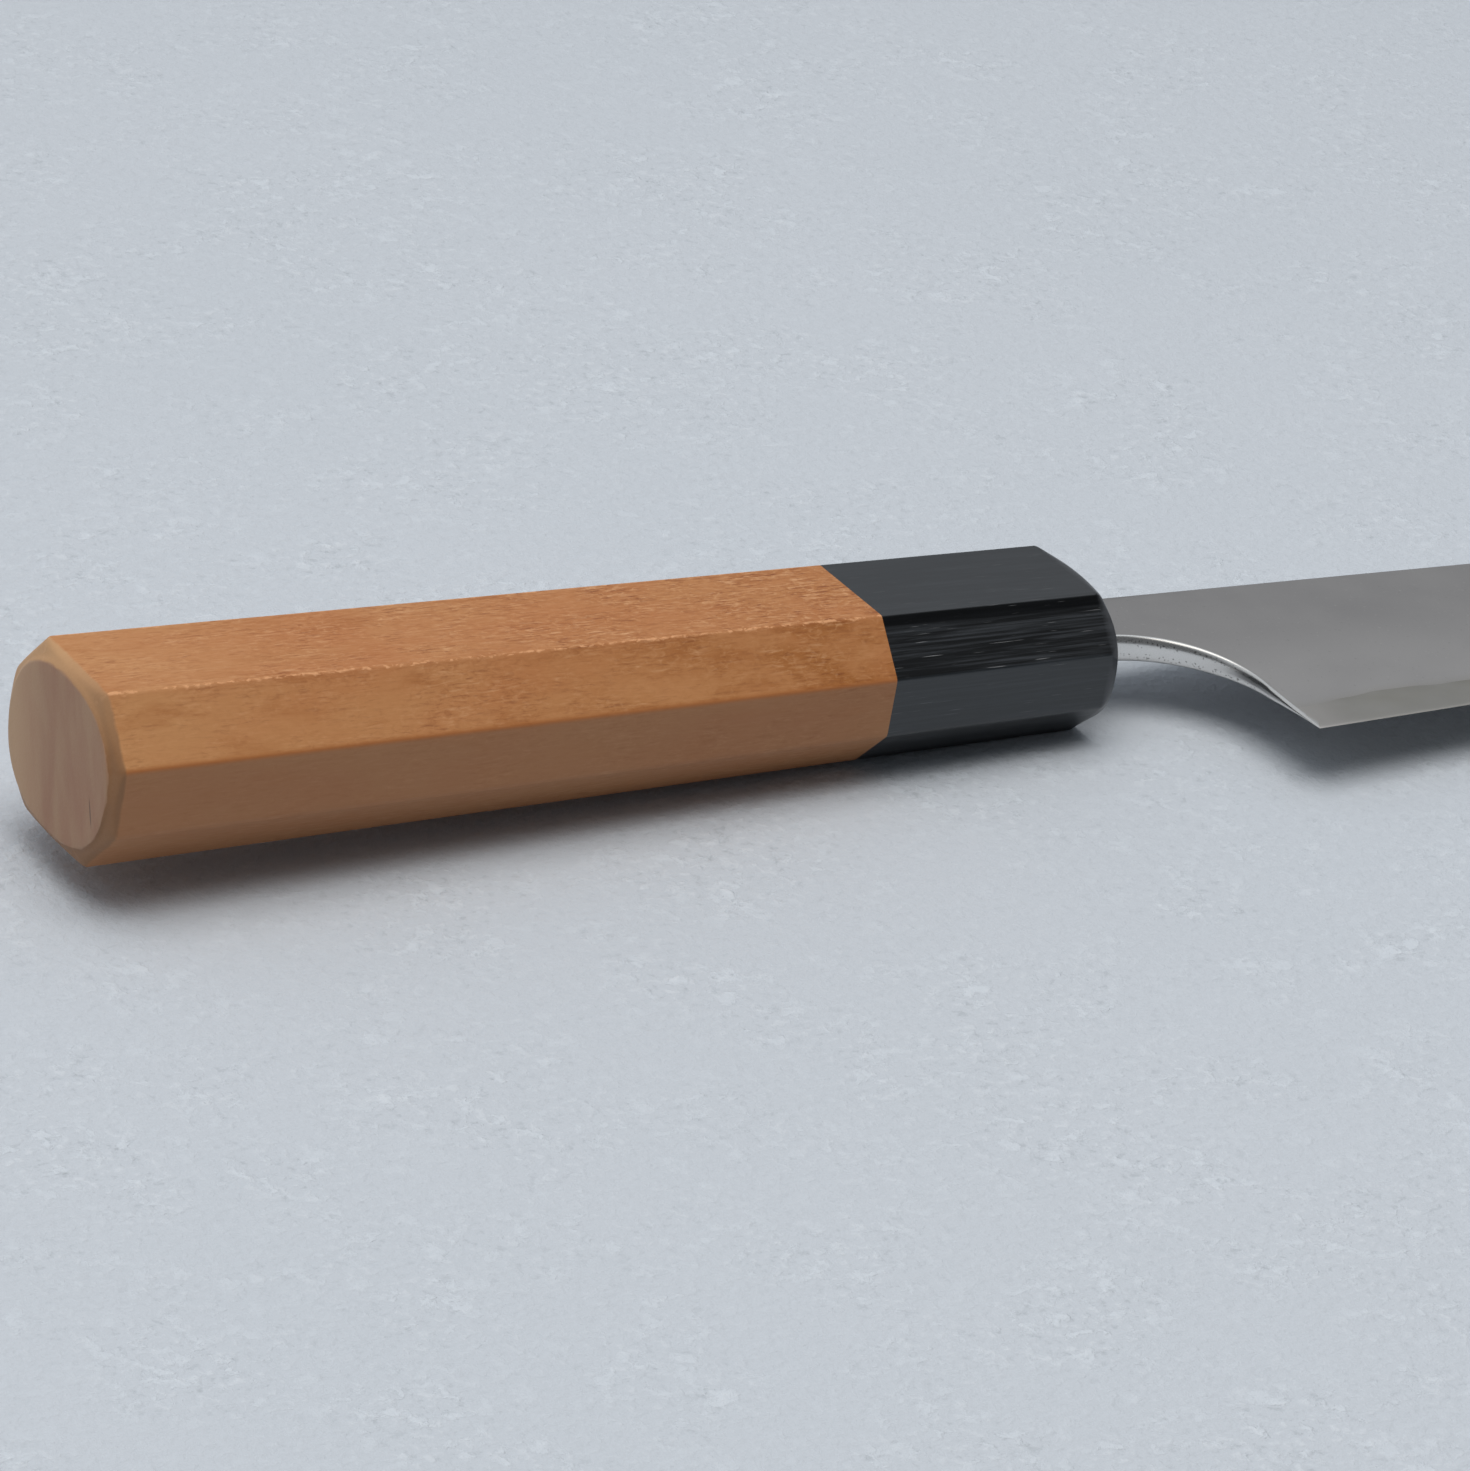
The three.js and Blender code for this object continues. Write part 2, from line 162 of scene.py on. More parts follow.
# %% The leaning table
FERRULE_REST = Vector((116.4, 0, -7.92)) * MM
TIP_REST = Vector((282.9, 0, -0.25)) * MM
CLEARANCE = 0.05 * MM
TABLE_HALF = 4.0

lean = (TIP_REST.z - FERRULE_REST.z) / (TIP_REST.x - FERRULE_REST.x)
table_height = FERRULE_REST.z - lean * FERRULE_REST.x - CLEARANCE
corners = [(TABLE_HALF * x, TABLE_HALF * y) for x, y in ((-1, -1), (1, -1), (1, 1), (-1, 1))]
table_mesh = bpy.data.meshes.new("table")
table_mesh.from_pydata([(x, y, table_height + lean * x) for x, y in corners], [], [(0, 1, 2, 3)])
table = bpy.data.objects.new("table", table_mesh)
bpy.context.scene.collection.objects.link(table)
print("the table leans", round(math.degrees(math.atan(lean)), 2), "degrees")

# %% Painted plaster for the table
# Flat and pale. Thin ragged flakes, short trowel marks and a few pin holes gather here and there. They are
# shallow, but in the knife's shadow the light comes in low, so there they show as a fine relief.
PLASTER_NOISES = {
    # Size in metres, detail, and how far it is bent.
    "cloud": (70 * MM, 3, 0.0), "gather": (15 * MM, 2, 0.0), "patch": (2.3 * MM, 5, 0.3),
    "mark": (1.2 * MM, 4, 0.2), "hole": (0.6 * MM, 2, 0.0),
}
PATCH_HEIGHT, MARK_HEIGHT = 0.07 * MM, 0.3 * MM

plaster, tree, surface, place, _ = new_material("painted plaster")
noise = {}
for name, (size, detail, bend) in PLASTER_NOISES.items():
    noise[name] = add(tree, NOISE, {
        "Vector": place, "Scale": 1 / size, "Detail": detail, "Roughness": 0.6, "Distortion": bend,
    })
gather = add(tree, RANGE, noise["gather"], 0.4, 0.64, 0.2, 1.0)
patch = add(tree, RANGE, noise["patch"], 0.53, 0.62)
patch = add(tree, TIMES, patch, gather)
tint = add(tree, BLEND, noise["cloud"], linear("#c6cdd5"), linear("#cad0d8"))
tint = add(tree, BLEND, patch, tint, linear("#d0d7df"))
for name, start, full, most, code in (
    ("mark", 0.55, 0.66, 0.5, "#d9dfe6"),
    ("mark", 0.42, 0.3, 0.6, "#b0b7be"),
    ("hole", 0.72, 0.8, 0.5, "#98a0a7"),
):
    share = add(tree, RANGE, noise[name], start, full, 0.0, most)
    share = add(tree, TIMES, share, gather)
    tint = add(tree, BLEND, share, tint, linear(code))
relief = add(tree, BUMP, {"Height": patch, "Strength": 1.0, "Distance": PATCH_HEIGHT})
relief = add(tree, BUMP, {
    "Height": noise["mark"], "Strength": 1.0, "Distance": MARK_HEIGHT, "Normal": relief,
})
give(tree, surface, {"Base Color": tint, "Normal": relief, "Roughness": 0.9, "Specular IOR Level": 0.2})
table_mesh.materials.append(plaster)
print("table finish:", plaster.name)

# %% Softbox
# A softbox this bright would turn the blade white from straight above. So most of its light comes from a
# lamp that isn't seen in reflections, and a weaker lamp a centimetre nearer is what shiny surfaces show.
LIGHT_DIRECTION = Vector((-0.17, -0.08, 0.97)).normalized()
LIGHT_SIZE = 1.2
LIT_POINT = Vector((0.11, 0, 0))
POWERS_AND_DISTANCES = {"softbox": (11.2, 1.5), "softbox_reflected": (4.8, 1.49)}

for name, (power, distance) in POWERS_AND_DISTANCES.items():
    lamp_data = bpy.data.lights.new(name, "AREA")
    lamp_data.shape = "SQUARE"
    lamp_data.size = LIGHT_SIZE
    lamp_data.energy = power
    lamp_data.color = linear("#fffbf6")[:3]
    lamp = bpy.data.objects.new(name, lamp_data)
    lamp.location = LIT_POINT + LIGHT_DIRECTION * distance
    lamp.rotation_euler = LIGHT_DIRECTION.to_track_quat("Z", "Y").to_euler()
    lamp.visible_glossy = name == "softbox_reflected"
    bpy.context.scene.collection.objects.link(lamp)
    print(name, "at", [round(v, 3) for v in lamp.location])

# %% The room around the table
# The room's brightness goes by direction: dim in front and to the right, bright above and behind. A small
# panel hangs above the blade, and the polished corner of the notch shows it as a thin bright line.
BRIGHT_SIDE = Vector((-0.3, 0.55, 0.78)).normalized()
DIM_LEVEL, BRIGHT_LEVEL = 0.13, 0.6
PANEL_SIDE = Vector((0.53, 0.2, 0.82)).normalized()
PANEL_LEVEL = 0.55

room = bpy.data.worlds.new("room")
bpy.context.scene.world = room
room.use_nodes = True
tree = room.node_tree
background = next(node for node in tree.nodes if node.type == "BACKGROUND")
outward = add(tree, COORDINATES).node.outputs["Generated"]
facing = add(tree, DOT, outward, BRIGHT_SIDE)
brightness = add(tree, RANGE, facing, 0.28, 0.75, DIM_LEVEL, BRIGHT_LEVEL)
above = add(tree, DOT, outward, PANEL_SIDE)
panel = add(tree, RANGE, above, 0.955, 0.985, 0.0, PANEL_LEVEL)
brightness = add(tree, PLUS, brightness, panel)
give(tree, background.inputs, {"Strength": brightness, "Color": linear("#f0f6fc")})
print("room level from", DIM_LEVEL, "to", BRIGHT_LEVEL, "and a panel of", PANEL_LEVEL)

# %% [markdown]
# ## Handle sizes
# The grip and the ferrule share one tapered octagon, so its sizes are written once, at the butt and at the
# ferrule's front. The corner cuts say how much of each corner the slanted flats take off. In these vectors
# the first number goes along the handle's Y and the second along its Z.

# %% Write down the octagon
HANDLE_LENGTH = 117.4 * MM
FERRULE_LENGTH = 28 * MM
JOINT = HANDLE_LENGTH - FERRULE_LENGTH
BUTT_SIZE = Vector((23.3, 18.7, 0)) * MM
BUTT_CORNER = Vector((5.25, 5.8, 0)) * MM
FRONT_SIZE = Vector((20.8, 15.8, 0)) * MM
FRONT_CORNER = Vector((4.5, 4.85, 0)) * MM
low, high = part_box("ferrule")
print("ferrule in the frame:", [round(v / MM, 2) for v in low], [round(v / MM, 2) for v in high])

# %% [markdown]
# ## The octagon as a rule
# A hand-planed octagon has flat sides, ridges that are eased to a hair, and ends that are sanded round until
# the ridges run out into an oval. It could be a bevelled loft, but every ridge would need its own bevel.
# Instead one rule gives the whole outline: a point is pushed out until the strongest of three side distances,
# joined by a high power, reaches one. Near an end the outline slides over to an oval by the same kind of
# rule. Geometry Nodes apply it to a plain cylinder, and the same tree makes the grip and the ferrule.

OCTAGON_INPUTS = {
    "NodeSocketFloat": (
        "Eased end", "Plain end", "Handle length", "Ridge power", "End power", "Oval power", "Oval shift",
        "Ease depth", "Ease fullness", "Ease share", "Hand waver", "Waver size",
        "Bore start", "Bore end", "Bore diameter",
    ),
    "NodeSocketVector": (
        "Butt size", "Butt corner", "Front size", "Front corner", "Oval size", "Slot low", "Slot high",
    ),
    "NodeSocketInt": ("Points round", "Rings"),
    "NodeSocketMaterial": ("Material",),
}
octagon = bpy.data.node_groups.new("eased octagon", "GeometryNodeTree")
octagon.is_modifier = True
octagon.interface.new_socket(name="Geometry", in_out="OUTPUT", socket_type="NodeSocketGeometry")
octagon_keys = {}
for kind, names in OCTAGON_INPUTS.items():
    for name in names:
        socket = octagon.interface.new_socket(name=name, in_out="INPUT", socket_type=kind)
        octagon_keys[name] = socket.identifier
given = add(octagon, "NodeGroupInput").node.outputs
print("octagon tree has", len(octagon_keys), "inputs")

# %% Share the rings between the eased edge and the run
# The cylinder's height, from 0 to 1, is spent first on the eased edge and then on the straight run.
start = add(octagon, "GeometryNodeInputPosition")
start_xyz = add(octagon, SPLIT, start).node.outputs
height = add(octagon, PLUS, start_xyz["Z"], 0.5)
ease = add(octagon, RANGE, height, 0.0, given["Ease share"])
run = add(octagon, RANGE, height, given["Ease share"], 1.0)
turn = add(octagon, TIMES, ease, math.pi / 2)
bend = add(octagon, OVER, 2.0, given["Ease fullness"])
cosine = add(octagon, MATH, turn, operation="COSINE")
cosine = add(octagon, LARGER, cosine, 0.0)
sine = add(octagon, MATH, turn, operation="SINE")
still = add(octagon, POWER, cosine, bend)
risen = add(octagon, POWER, sine, bend)
along = add(octagon, MINUS, 1.0, still)
across = add(octagon, MINUS, 1.0, risen)
print("nodes so far:", len(octagon.nodes))

# %% Place each ring along the handle
reach = add(octagon, MINUS, given["Plain end"], given["Eased end"])
way = add(octagon, MATH, reach, operation="SIGN")
edge = add(octagon, TIMES, way, given["Ease depth"])
straight = add(octagon, MINUS, reach, edge)
eased_x = add(octagon, TIMES_PLUS, edge, along, given["Eased end"])
ring_x = add(octagon, TIMES_PLUS, straight, run, eased_x)
taper = add(octagon, OVER, ring_x, given["Handle length"])
size = add(octagon, MIX, taper, given["Butt size"], given["Front size"], data_type="VECTOR")
corner = add(octagon, MIX, taper, given["Butt corner"], given["Front corner"], data_type="VECTOR")
print("nodes so far:", len(octagon.nodes))

# %% Measure the three sides
# With half sizes h and corner cuts c, the slanted side lies on c.z * y + c.y * z = reach.
half = add(octagon, SCALED, size, 0.5)
half_yz = add(octagon, SPLIT, half).node.outputs
corner_yz = add(octagon, SPLIT, corner).node.outputs
flat_part = add(octagon, MINUS, half_yz["Y"], corner_yz["Y"])
flat_part = add(octagon, TIMES, flat_part, corner_yz["X"])
slant_reach = add(octagon, TIMES_PLUS, corner_yz["Y"], half_yz["X"], flat_part)
outward = add(octagon, UNSIGNED, start)
outward_yz = add(octagon, SPLIT, outward).node.outputs
slanted = add(octagon, TIMES, corner_yz["X"], outward_yz["Y"])
slanted = add(octagon, TIMES_PLUS, corner_yz["Y"], outward_yz["X"], slanted)
sides = add(octagon, COMBINE, outward_yz["X"], outward_yz["Y"], slanted)
reaches = add(octagon, COMBINE, half_yz["X"], half_yz["Y"], slant_reach)
sides = add(octagon, VECTOR_MATH, sides, reaches, operation="DIVIDE")
print("nodes so far:", len(octagon.nodes))

# %% Join the sides by a power
# The distances are divided by the strongest before the power is taken, so that no number grows too large.
# The power falls towards the end, where sanding has rounded the ridges before they run out into the oval.
CRISP_POWER = 8.0
sides_xyz = add(octagon, SPLIT, sides).node.outputs
strongest = add(octagon, LARGER, sides_xyz["X"], sides_xyz["Y"])
strongest = add(octagon, LARGER, strongest, sides_xyz["Z"])
weaken = add(octagon, OVER, 1.0, strongest)
shares = add(octagon, SCALED, sides, weaken)
oval_half = add(octagon, SCALED, given["Oval size"], 0.5)
oval_sides = add(octagon, VECTOR_MATH, outward, oval_half, operation="DIVIDE")
crisp = add(octagon, POWER, risen, CRISP_POWER)
ridge_power = add(octagon, MIX, crisp, given["End power"], given["Ridge power"], data_type="FLOAT")
outline = {}
for name, distances, power, counted in (
    ("octagon", shares, ridge_power, (1, 1, 1)),
    ("oval", oval_sides, given["Oval power"], (1, 1, 0)),
):
    powers = add(octagon, COMBINE, power, power, power)
    raised = add(octagon, VECTOR_MATH, distances, powers, operation="POWER")
    total = add(octagon, DOT, raised, counted)
    root = add(octagon, OVER, 1.0, power)
    joined = add(octagon, POWER, total, root)
    outline[name] = add(octagon, OVER, 1.0, joined)
octagon_push = add(octagon, TIMES, outline["octagon"], weaken)
push = add(octagon, MIX, risen, outline["oval"], octagon_push, data_type="FLOAT")
disc = add(octagon, VECTOR_MATH, start, (1, 1, 0), operation="MULTIPLY")
radius = add(octagon, VECTOR_MATH, disc, operation="LENGTH")
push = add(octagon, TIMES, radius, push)
print("nodes so far:", len(octagon.nodes))

# %% Add the hand's waver
# A hand-held plane leaves the flats straight to a few hundredths of a millimetre, and only cuts inward.
plain_y = add(octagon, TIMES, start_xyz["X"], push)
plain_z = add(octagon, TIMES, start_xyz["Y"], push)
plain_z = add(octagon, TIMES, plain_z, way)
plain = add(octagon, COMBINE, ring_x, plain_y, plain_z)
often = add(octagon, OVER, 1.0, given["Waver size"])
waver = add(octagon, NOISE, {"Vector": plain, "Scale": often, "Detail": 1.0})
waver = add(octagon, TIMES, waver, given["Hand waver"])
waver = add(octagon, MINUS, 1.0, waver)
waver_xyz = add(octagon, COMBINE, 1.0, waver, waver)
placed = add(octagon, VECTOR_MATH, plain, waver_xyz, operation="MULTIPLY")
shift = add(octagon, TIMES, given["Oval shift"], across)
shift_xyz = add(octagon, COMBINE, {"Y": shift})
placed = add(octagon, VECTOR_MATH, placed, shift_xyz, operation="ADD")
print("nodes so far:", len(octagon.nodes))

# %% Set the points and keep what the finishes need to know
# The finishes read three values off the surface: how near the end face is, and how near the two kinds of
# ridge are, those beside the broad flats and those beside the narrow sides.
RIDGE_FALL = 22.0
RINGS_ON_AN_END = 12
nearness = add(octagon, VECTOR_MATH, shares, (RIDGE_FALL,) * 3, operation="POWER")
near_xyz = add(octagon, SPLIT, nearness).node.outputs
flat_ridge = add(octagon, SMALLER, near_xyz["Y"], near_xyz["Z"])
side_ridge = add(octagon, SMALLER, near_xyz["X"], near_xyz["Z"])
end_nearness = add(octagon, MINUS, 1.0, ease)
shaped = add(octagon, "GeometryNodeMeshCylinder", {
    "Vertices": given["Points round"], "Side Segments": given["Rings"], "Fill Segments": RINGS_ON_AN_END,
    "Radius": 1.0, "Depth": 1.0,
}, fill_type="TRIANGLE_FAN")
for name, value in (("flat_ridge", flat_ridge), ("side_ridge", side_ridge), ("end_nearness", end_nearness)):
    shaped = add(octagon, "GeometryNodeStoreNamedAttribute", {
        "Geometry": shaped, "Name": name, "Value": value,
    }, data_type="FLOAT", domain="POINT")
shaped = add(octagon, "GeometryNodeSetPosition", {"Geometry": shaped, "Position": placed})
print("nodes so far:", len(octagon.nodes))

# %% Cut the bore and the slot, and finish the tree
SAME_POINT = 1e-4 * MM
BORE_POINTS = 96
bore_length = add(octagon, MINUS, given["Bore end"], given["Bore start"])
bore_radius = add(octagon, TIMES, given["Bore diameter"], 0.5)
bore_sum = add(octagon, PLUS, given["Bore end"], given["Bore start"])
bore_middle = add(octagon, TIMES, bore_sum, 0.5)
bore_place = add(octagon, COMBINE, {"X": bore_middle})
bore = add(octagon, "GeometryNodeMeshCylinder", {
    "Vertices": BORE_POINTS, "Radius": bore_radius, "Depth": bore_length,
})
bore = add(octagon, "GeometryNodeTransform", {
    "Geometry": bore, "Rotation": (0, math.pi / 2, 0), "Translation": bore_place,
})
slot_size = add(octagon, VECTOR_MATH, given["Slot high"], given["Slot low"], operation="SUBTRACT")
slot_sum = add(octagon, VECTOR_MATH, given["Slot high"], given["Slot low"], operation="ADD")
slot_middle = add(octagon, SCALED, slot_sum, 0.5)
slot = add(octagon, "GeometryNodeMeshCube", {"Size": slot_size})
slot = add(octagon, "GeometryNodeTransform", {"Geometry": slot, "Translation": slot_middle})
for cutter in (bore, slot):
    shaped = add(
        octagon, "GeometryNodeMeshBoolean", shaped, cutter, operation="DIFFERENCE", solver="MANIFOLD",
    )
shaped = add(octagon, "GeometryNodeRealizeInstances", {"Geometry": shaped})
shaped = add(octagon, "GeometryNodeMergeByDistance", {"Geometry": shaped, "Distance": SAME_POINT})
shaped = add(octagon, "GeometryNodeSetMaterial", {"Geometry": shaped, "Material": given["Material"]})
add(octagon, "NodeGroupOutput", {"Geometry": shaped})
print("octagon tree has", len(octagon.nodes), "nodes")

# %% Run the tree and keep a plain mesh
SHARP = math.radians(40)


def octagon_piece(name, material, sizes):
    piece = bpy.data.objects.new(name, bpy.data.meshes.new(name))
    bpy.context.scene.collection.objects.link(piece)
    modifier = piece.modifiers.new("eased octagon", "NODES")
    modifier.node_group = octagon
    for key, value in {**sizes, "Material": material}.items():
        modifier[octagon_keys[key]] = value
    bpy.context.view_layer.update()
    evaluated = piece.evaluated_get(bpy.context.evaluated_depsgraph_get())
    mesh = bpy.data.meshes.new_from_object(evaluated)
    piece.modifiers.remove(modifier)
    piece.data = mesh
    mesh.name = name
    mesh.shade_smooth()
    mesh.set_sharp_from_angle(angle=SHARP)
    return piece


print("the tree is ready for two pieces")

# %% [markdown]
# ## Cherry wood
# The grip is a close-grained, orange-tan fruitwood, planed, sanded and oiled. Its colour drifts from yellow
# to pink, and turns redder and darker towards the ferrule. The sanded flats are finely pebbled, with short
# pale and dark strokes along the grain, while the narrow sides are smooth. The narrow sides are painted a
# darker, greyer brown, partly their own tone and partly painted shade, and the underside a little darker
# still as painted shade. The upper ridges are paler in dashes, partly from handling and partly as a painted
# highlight where the eased ridges catch the light, and the end grain drinks more oil and looks brown. Noise
# stretched along X makes the fibres, the surface's own direction tells flats from sides, and the values that
# the octagon tree kept tell where ridges and end are.

# %% Oiled cherry wood
# A matt oil finish: warm colour that drifts along the handle, and a weak broad sheen. The masks for the flats
# and the sides fade between two values of the surface's direction.
TURNED_AWAY, TURNED_TO = 0.78, 0.95
GRAIN_SIZES = {
    "drift": (22, 8, 8), "stain": (9, 2.2, 2.2), "cluster": (6, 4, 4), "edge": (3, 3, 3),
    "fleck": (1.9, 0.28, 0.28), "pebble": (0.8, 0.5, 0.5), "rub": (0.9, 0.5, 0.5),
}


def flat_masks(tree, normal):
    turned = add(tree, UNSIGNED, normal)
    turned_xyz = add(tree, SPLIT, turned).node.outputs
    on_flat = add(tree, RANGE, turned_xyz["Z"], TURNED_AWAY, TURNED_TO)
    off_flat = add(tree, RANGE, turned_xyz["Z"], TURNED_TO, TURNED_AWAY)
    return turned_xyz, on_flat, off_flat


cherry, tree, surface, place, normal = new_material("oiled cherry wood")
place_x = add(tree, SPLIT, place).node.outputs["X"]
faced_z = add(tree, SPLIT, normal).node.outputs["Z"]
turned_xyz, on_flat, off_flat = flat_masks(tree, normal)
on_side = add(tree, RANGE, turned_xyz["Y"], TURNED_AWAY, TURNED_TO)
underneath = add(tree, RANGE, faced_z, -0.3, -0.55)
underneath = add(tree, TIMES, underneath, off_flat)
smooth_side = add(tree, LARGER, on_side, underneath)
grain = {}
for name, millimetres in GRAIN_SIZES.items():
    size = [length * MM for length in millimetres]
    grain[name] = stretched_noise(tree, place, size, Detail=3, Roughness=0.55, Distortion=0.6)
drift = add(tree, RANGE, grain["drift"], 0.35, 0.65)
wood = add(tree, BLEND, drift, linear("#bd7d4d"), linear("#c18756"))
print("cherry grain sizes in mm:", GRAIN_SIZES)

# %% Darker front, stains, strokes and pebbling
# The masks come first. Each layer of colour then has its noise, the range over which it comes in, its
# greatest share, its tint and its mask. A range from 0.2 to 0.3 takes in almost the whole noise, so such a
# layer covers all of its mask.
DARKER_FROM, LIVELY_FROM = 40 * MM, 8 * MM
BUTT_FADE, BUTT_FULL = 24 * MM, 4 * MM

front_flat = add(tree, RANGE, on_flat, 0.0, 1.0, 1.0, 0.6)
rough_side = add(tree, RANGE, smooth_side, 0.0, 1.0, 1.0, 0.3)
lively = add(tree, RANGE, place_x, LIVELY_FROM, JOINT, 0.6, 1.3)
flat_lively = add(tree, RANGE, on_flat, 0.0, 1.0, 0.82, 1.3)
gather = add(tree, RANGE, grain["cluster"], 0.38, 0.6, 0.3, 1.0)
for factor in (rough_side, lively, flat_lively):
    gather = add(tree, TIMES, gather, factor)
front = add(tree, RANGE, place_x, DARKER_FROM, JOINT, 0.0, 0.9)
for factor in (front_flat, rough_side):
    front = add(tree, TIMES, front, factor)
near_butt = add(tree, RANGE, place_x, BUTT_FADE, BUTT_FULL)
near_butt = add(tree, TIMES, near_butt, rough_side)
for name, start, full, most, tint, where in (
    ("cluster", 0.3, 0.6, 0.9, "#a06026", front),
    ("drift", 0.2, 0.3, 0.3, "#a76b3b", on_flat),
    ("drift", 0.2, 0.3, 0.3, "#cb9967", near_butt),
    # The narrow sides are painted darker and greyer: partly their own tone, partly painted shade.
    ("drift", 0.2, 0.3, 0.5, "#9a7052", smooth_side),
    # The underside is painted a little darker: painted shade.
    ("drift", 0.2, 0.3, 0.1, "#6e4a33", underneath),
    ("stain", 0.54, 0.72, 0.45, "#a3622f", rough_side),
    ("fleck", 0.54, 0.72, 0.7, "#7f4628", gather),
    ("fleck", 0.46, 0.28, 0.48, "#e0ae82", gather),
    ("pebble", 0.53, 0.74, 0.4, "#90522b", gather),
    ("pebble", 0.47, 0.28, 0.36, "#dfac7e", gather),
):
    share = add(tree, RANGE, grain[name], start, full, 0.0, most)
    share = add(tree, TIMES, share, where)
    wood = add(tree, BLEND, share, wood, linear(tint))
print("cherry: nodes so far", len(tree.nodes))

# %% Worn ridges and their painted highlight
# The plane tore the fibres a little at the upper ridges, so the pale beads there are small and ragged. They
# are partly wear and partly a painted highlight where the eased ridge catches the light.
flat_near = add(tree, ATTRIBUTE, attribute_name="flat_ridge").node.outputs["Fac"]
side_near = add(tree, ATTRIBUTE, attribute_name="side_ridge").node.outputs["Fac"]
torn = add(tree, RANGE, grain["pebble"], 0.3, 0.7, -0.25, 0.25)
torn = add(tree, PLUS, flat_near, torn)
bead = add(tree, RANGE, grain["rub"], 0.46, 0.58)
above = add(tree, RANGE, faced_z, -0.1, 0.1)
redder = add(tree, RANGE, torn, 0.1, 0.6, 0.0, 0.45)
wear_and_highlight = add(tree, RANGE, torn, 0.6, 0.9, 0.0, 0.8)
warm = add(tree, RANGE, side_near, 0.5, 0.95, 0.0, 0.6)
for share, masks, tint in (
    (redder, (off_flat, gather), "#94552a"), (wear_and_highlight, (bead,), "#e6ab7b"), (warm, (above,), "#b4682d"),
):
    for mask in masks:
        share = add(tree, TIMES, share, mask)
    wood = add(tree, BLEND, share, wood, linear(tint))
print("cherry: pale beads on the upper ridges, a warm line on the ridges beside the narrow sides")

# %% End grain
# The sanded rim is tan above and browner below, partly the wood's own tone and partly painted shade on its
# lower side. The face is paler towards the spine, with upright streaks and one short drying check.
STREAK_SIZE = (5 * MM, 2.2 * MM, 9 * MM)
CHECK_PLACE, CHECK_TURN = (0, -8.1 * MM, -2.35 * MM), (math.radians(-23), 0, 0)
CHECK_SIZE = (10 * MM, 0.16 * MM, 1.6 * MM)
PALE_SIDE, PALE_RIM_SIDE = Vector((0, 0.96, -0.28)), Vector((0, 0.8, 0.6))
PALE_FROM, PALE_FULL = 2 * MM, 8.5 * MM
RIM_TAN, RIM_BROWN = 8 * MM, -5 * MM

end_near = add(tree, ATTRIBUTE, attribute_name="end_nearness").node.outputs["Fac"]
ragged = {}
for name, least, most in (("rim", -0.07, 0.05), ("face", -0.02, 0.2)):
    ragged[name] = add(tree, RANGE, grain["edge"], 0.3, 0.7, least, most)
    ragged[name] = add(tree, PLUS, end_near, ragged[name])
# The rim's browner lower side is partly painted shade.
below = add(tree, DOT, place, PALE_RIM_SIDE)
below = add(tree, RANGE, below, RIM_TAN, RIM_BROWN)
rim_tint = add(tree, BLEND, below, linear("#c2996f"), linear("#8d6747"))
rim = add(tree, RANGE, ragged["rim"], 0.06, 0.2, 0.0, 0.85)
wood = add(tree, BLEND, rim, wood, rim_tint)
streak = stretched_noise(tree, place, STREAK_SIZE, CHECK_TURN, Detail=4, Roughness=0.5)
streak = add(tree, RANGE, streak, 0.35, 0.65)
end_grain = add(tree, BLEND, streak, linear("#a47a60"), linear("#ac886b"))
upper = add(tree, DOT, place, PALE_SIDE)
upper = add(tree, RANGE, upper, PALE_FROM, PALE_FULL, 0.0, 0.95)
check_place = add(tree, MAPPING, {
    "Vector": place, "Location": CHECK_PLACE, "Rotation": CHECK_TURN, "Scale": CHECK_SIZE,
}, vector_type="TEXTURE")
check = add(tree, VECTOR_MATH, check_place, operation="LENGTH")
check = add(tree, RANGE, check, 0.6, 1.1, 0.7, 0.0)
for share, tint in ((upper, "#c09d7c"), (check, "#5f4a3a")):
    end_grain = add(tree, BLEND, share, end_grain, linear(tint))
face = add(tree, RANGE, ragged["face"], 0.86, 0.97)
wood = add(tree, BLEND, face, wood, end_grain)
print("cherry: end grain on the butt, with a check", round(2 * CHECK_SIZE[2] / MM, 1), "mm long")

# %% Sheen and relief of the cherry
FLECK_DEPTH, PEBBLE_DEPTH = 0.05 * MM, 0.07 * MM
rough = add(tree, RANGE, grain["fleck"], 0.3, 0.7, 0.46, 0.6)
strength = add(tree, RANGE, gather, 0.0, 1.0, 0.1, 0.6)
relief = add(tree, BUMP, {"Height": grain["fleck"], "Strength": strength, "Distance": FLECK_DEPTH})
relief = add(tree, BUMP, {
    "Height": grain["pebble"], "Strength": strength, "Distance": PEBBLE_DEPTH, "Normal": relief,
})
give(tree, surface, {
    "Base Color": wood, "Roughness": rough, "Normal": relief, "IOR": 1.5, "Specular IOR Level": 0.4,
})
print("finish:", cherry.name)

# %% [markdown]
# ## Grip
# The grip is the octagon from the butt to the ferrule's back, bored for the dowel and slotted for the tang.

# %% Make the grip
BORE_DIAMETER = 11.7 * MM
DOWEL_BACK = JOINT - 26.3 * MM
TANG_HOLE_END = HANDLE_LENGTH - 87 * MM
TANG_HOLE_HALF = Vector((0, 4.45, 2.25)) * MM
PAST = 1 * MM

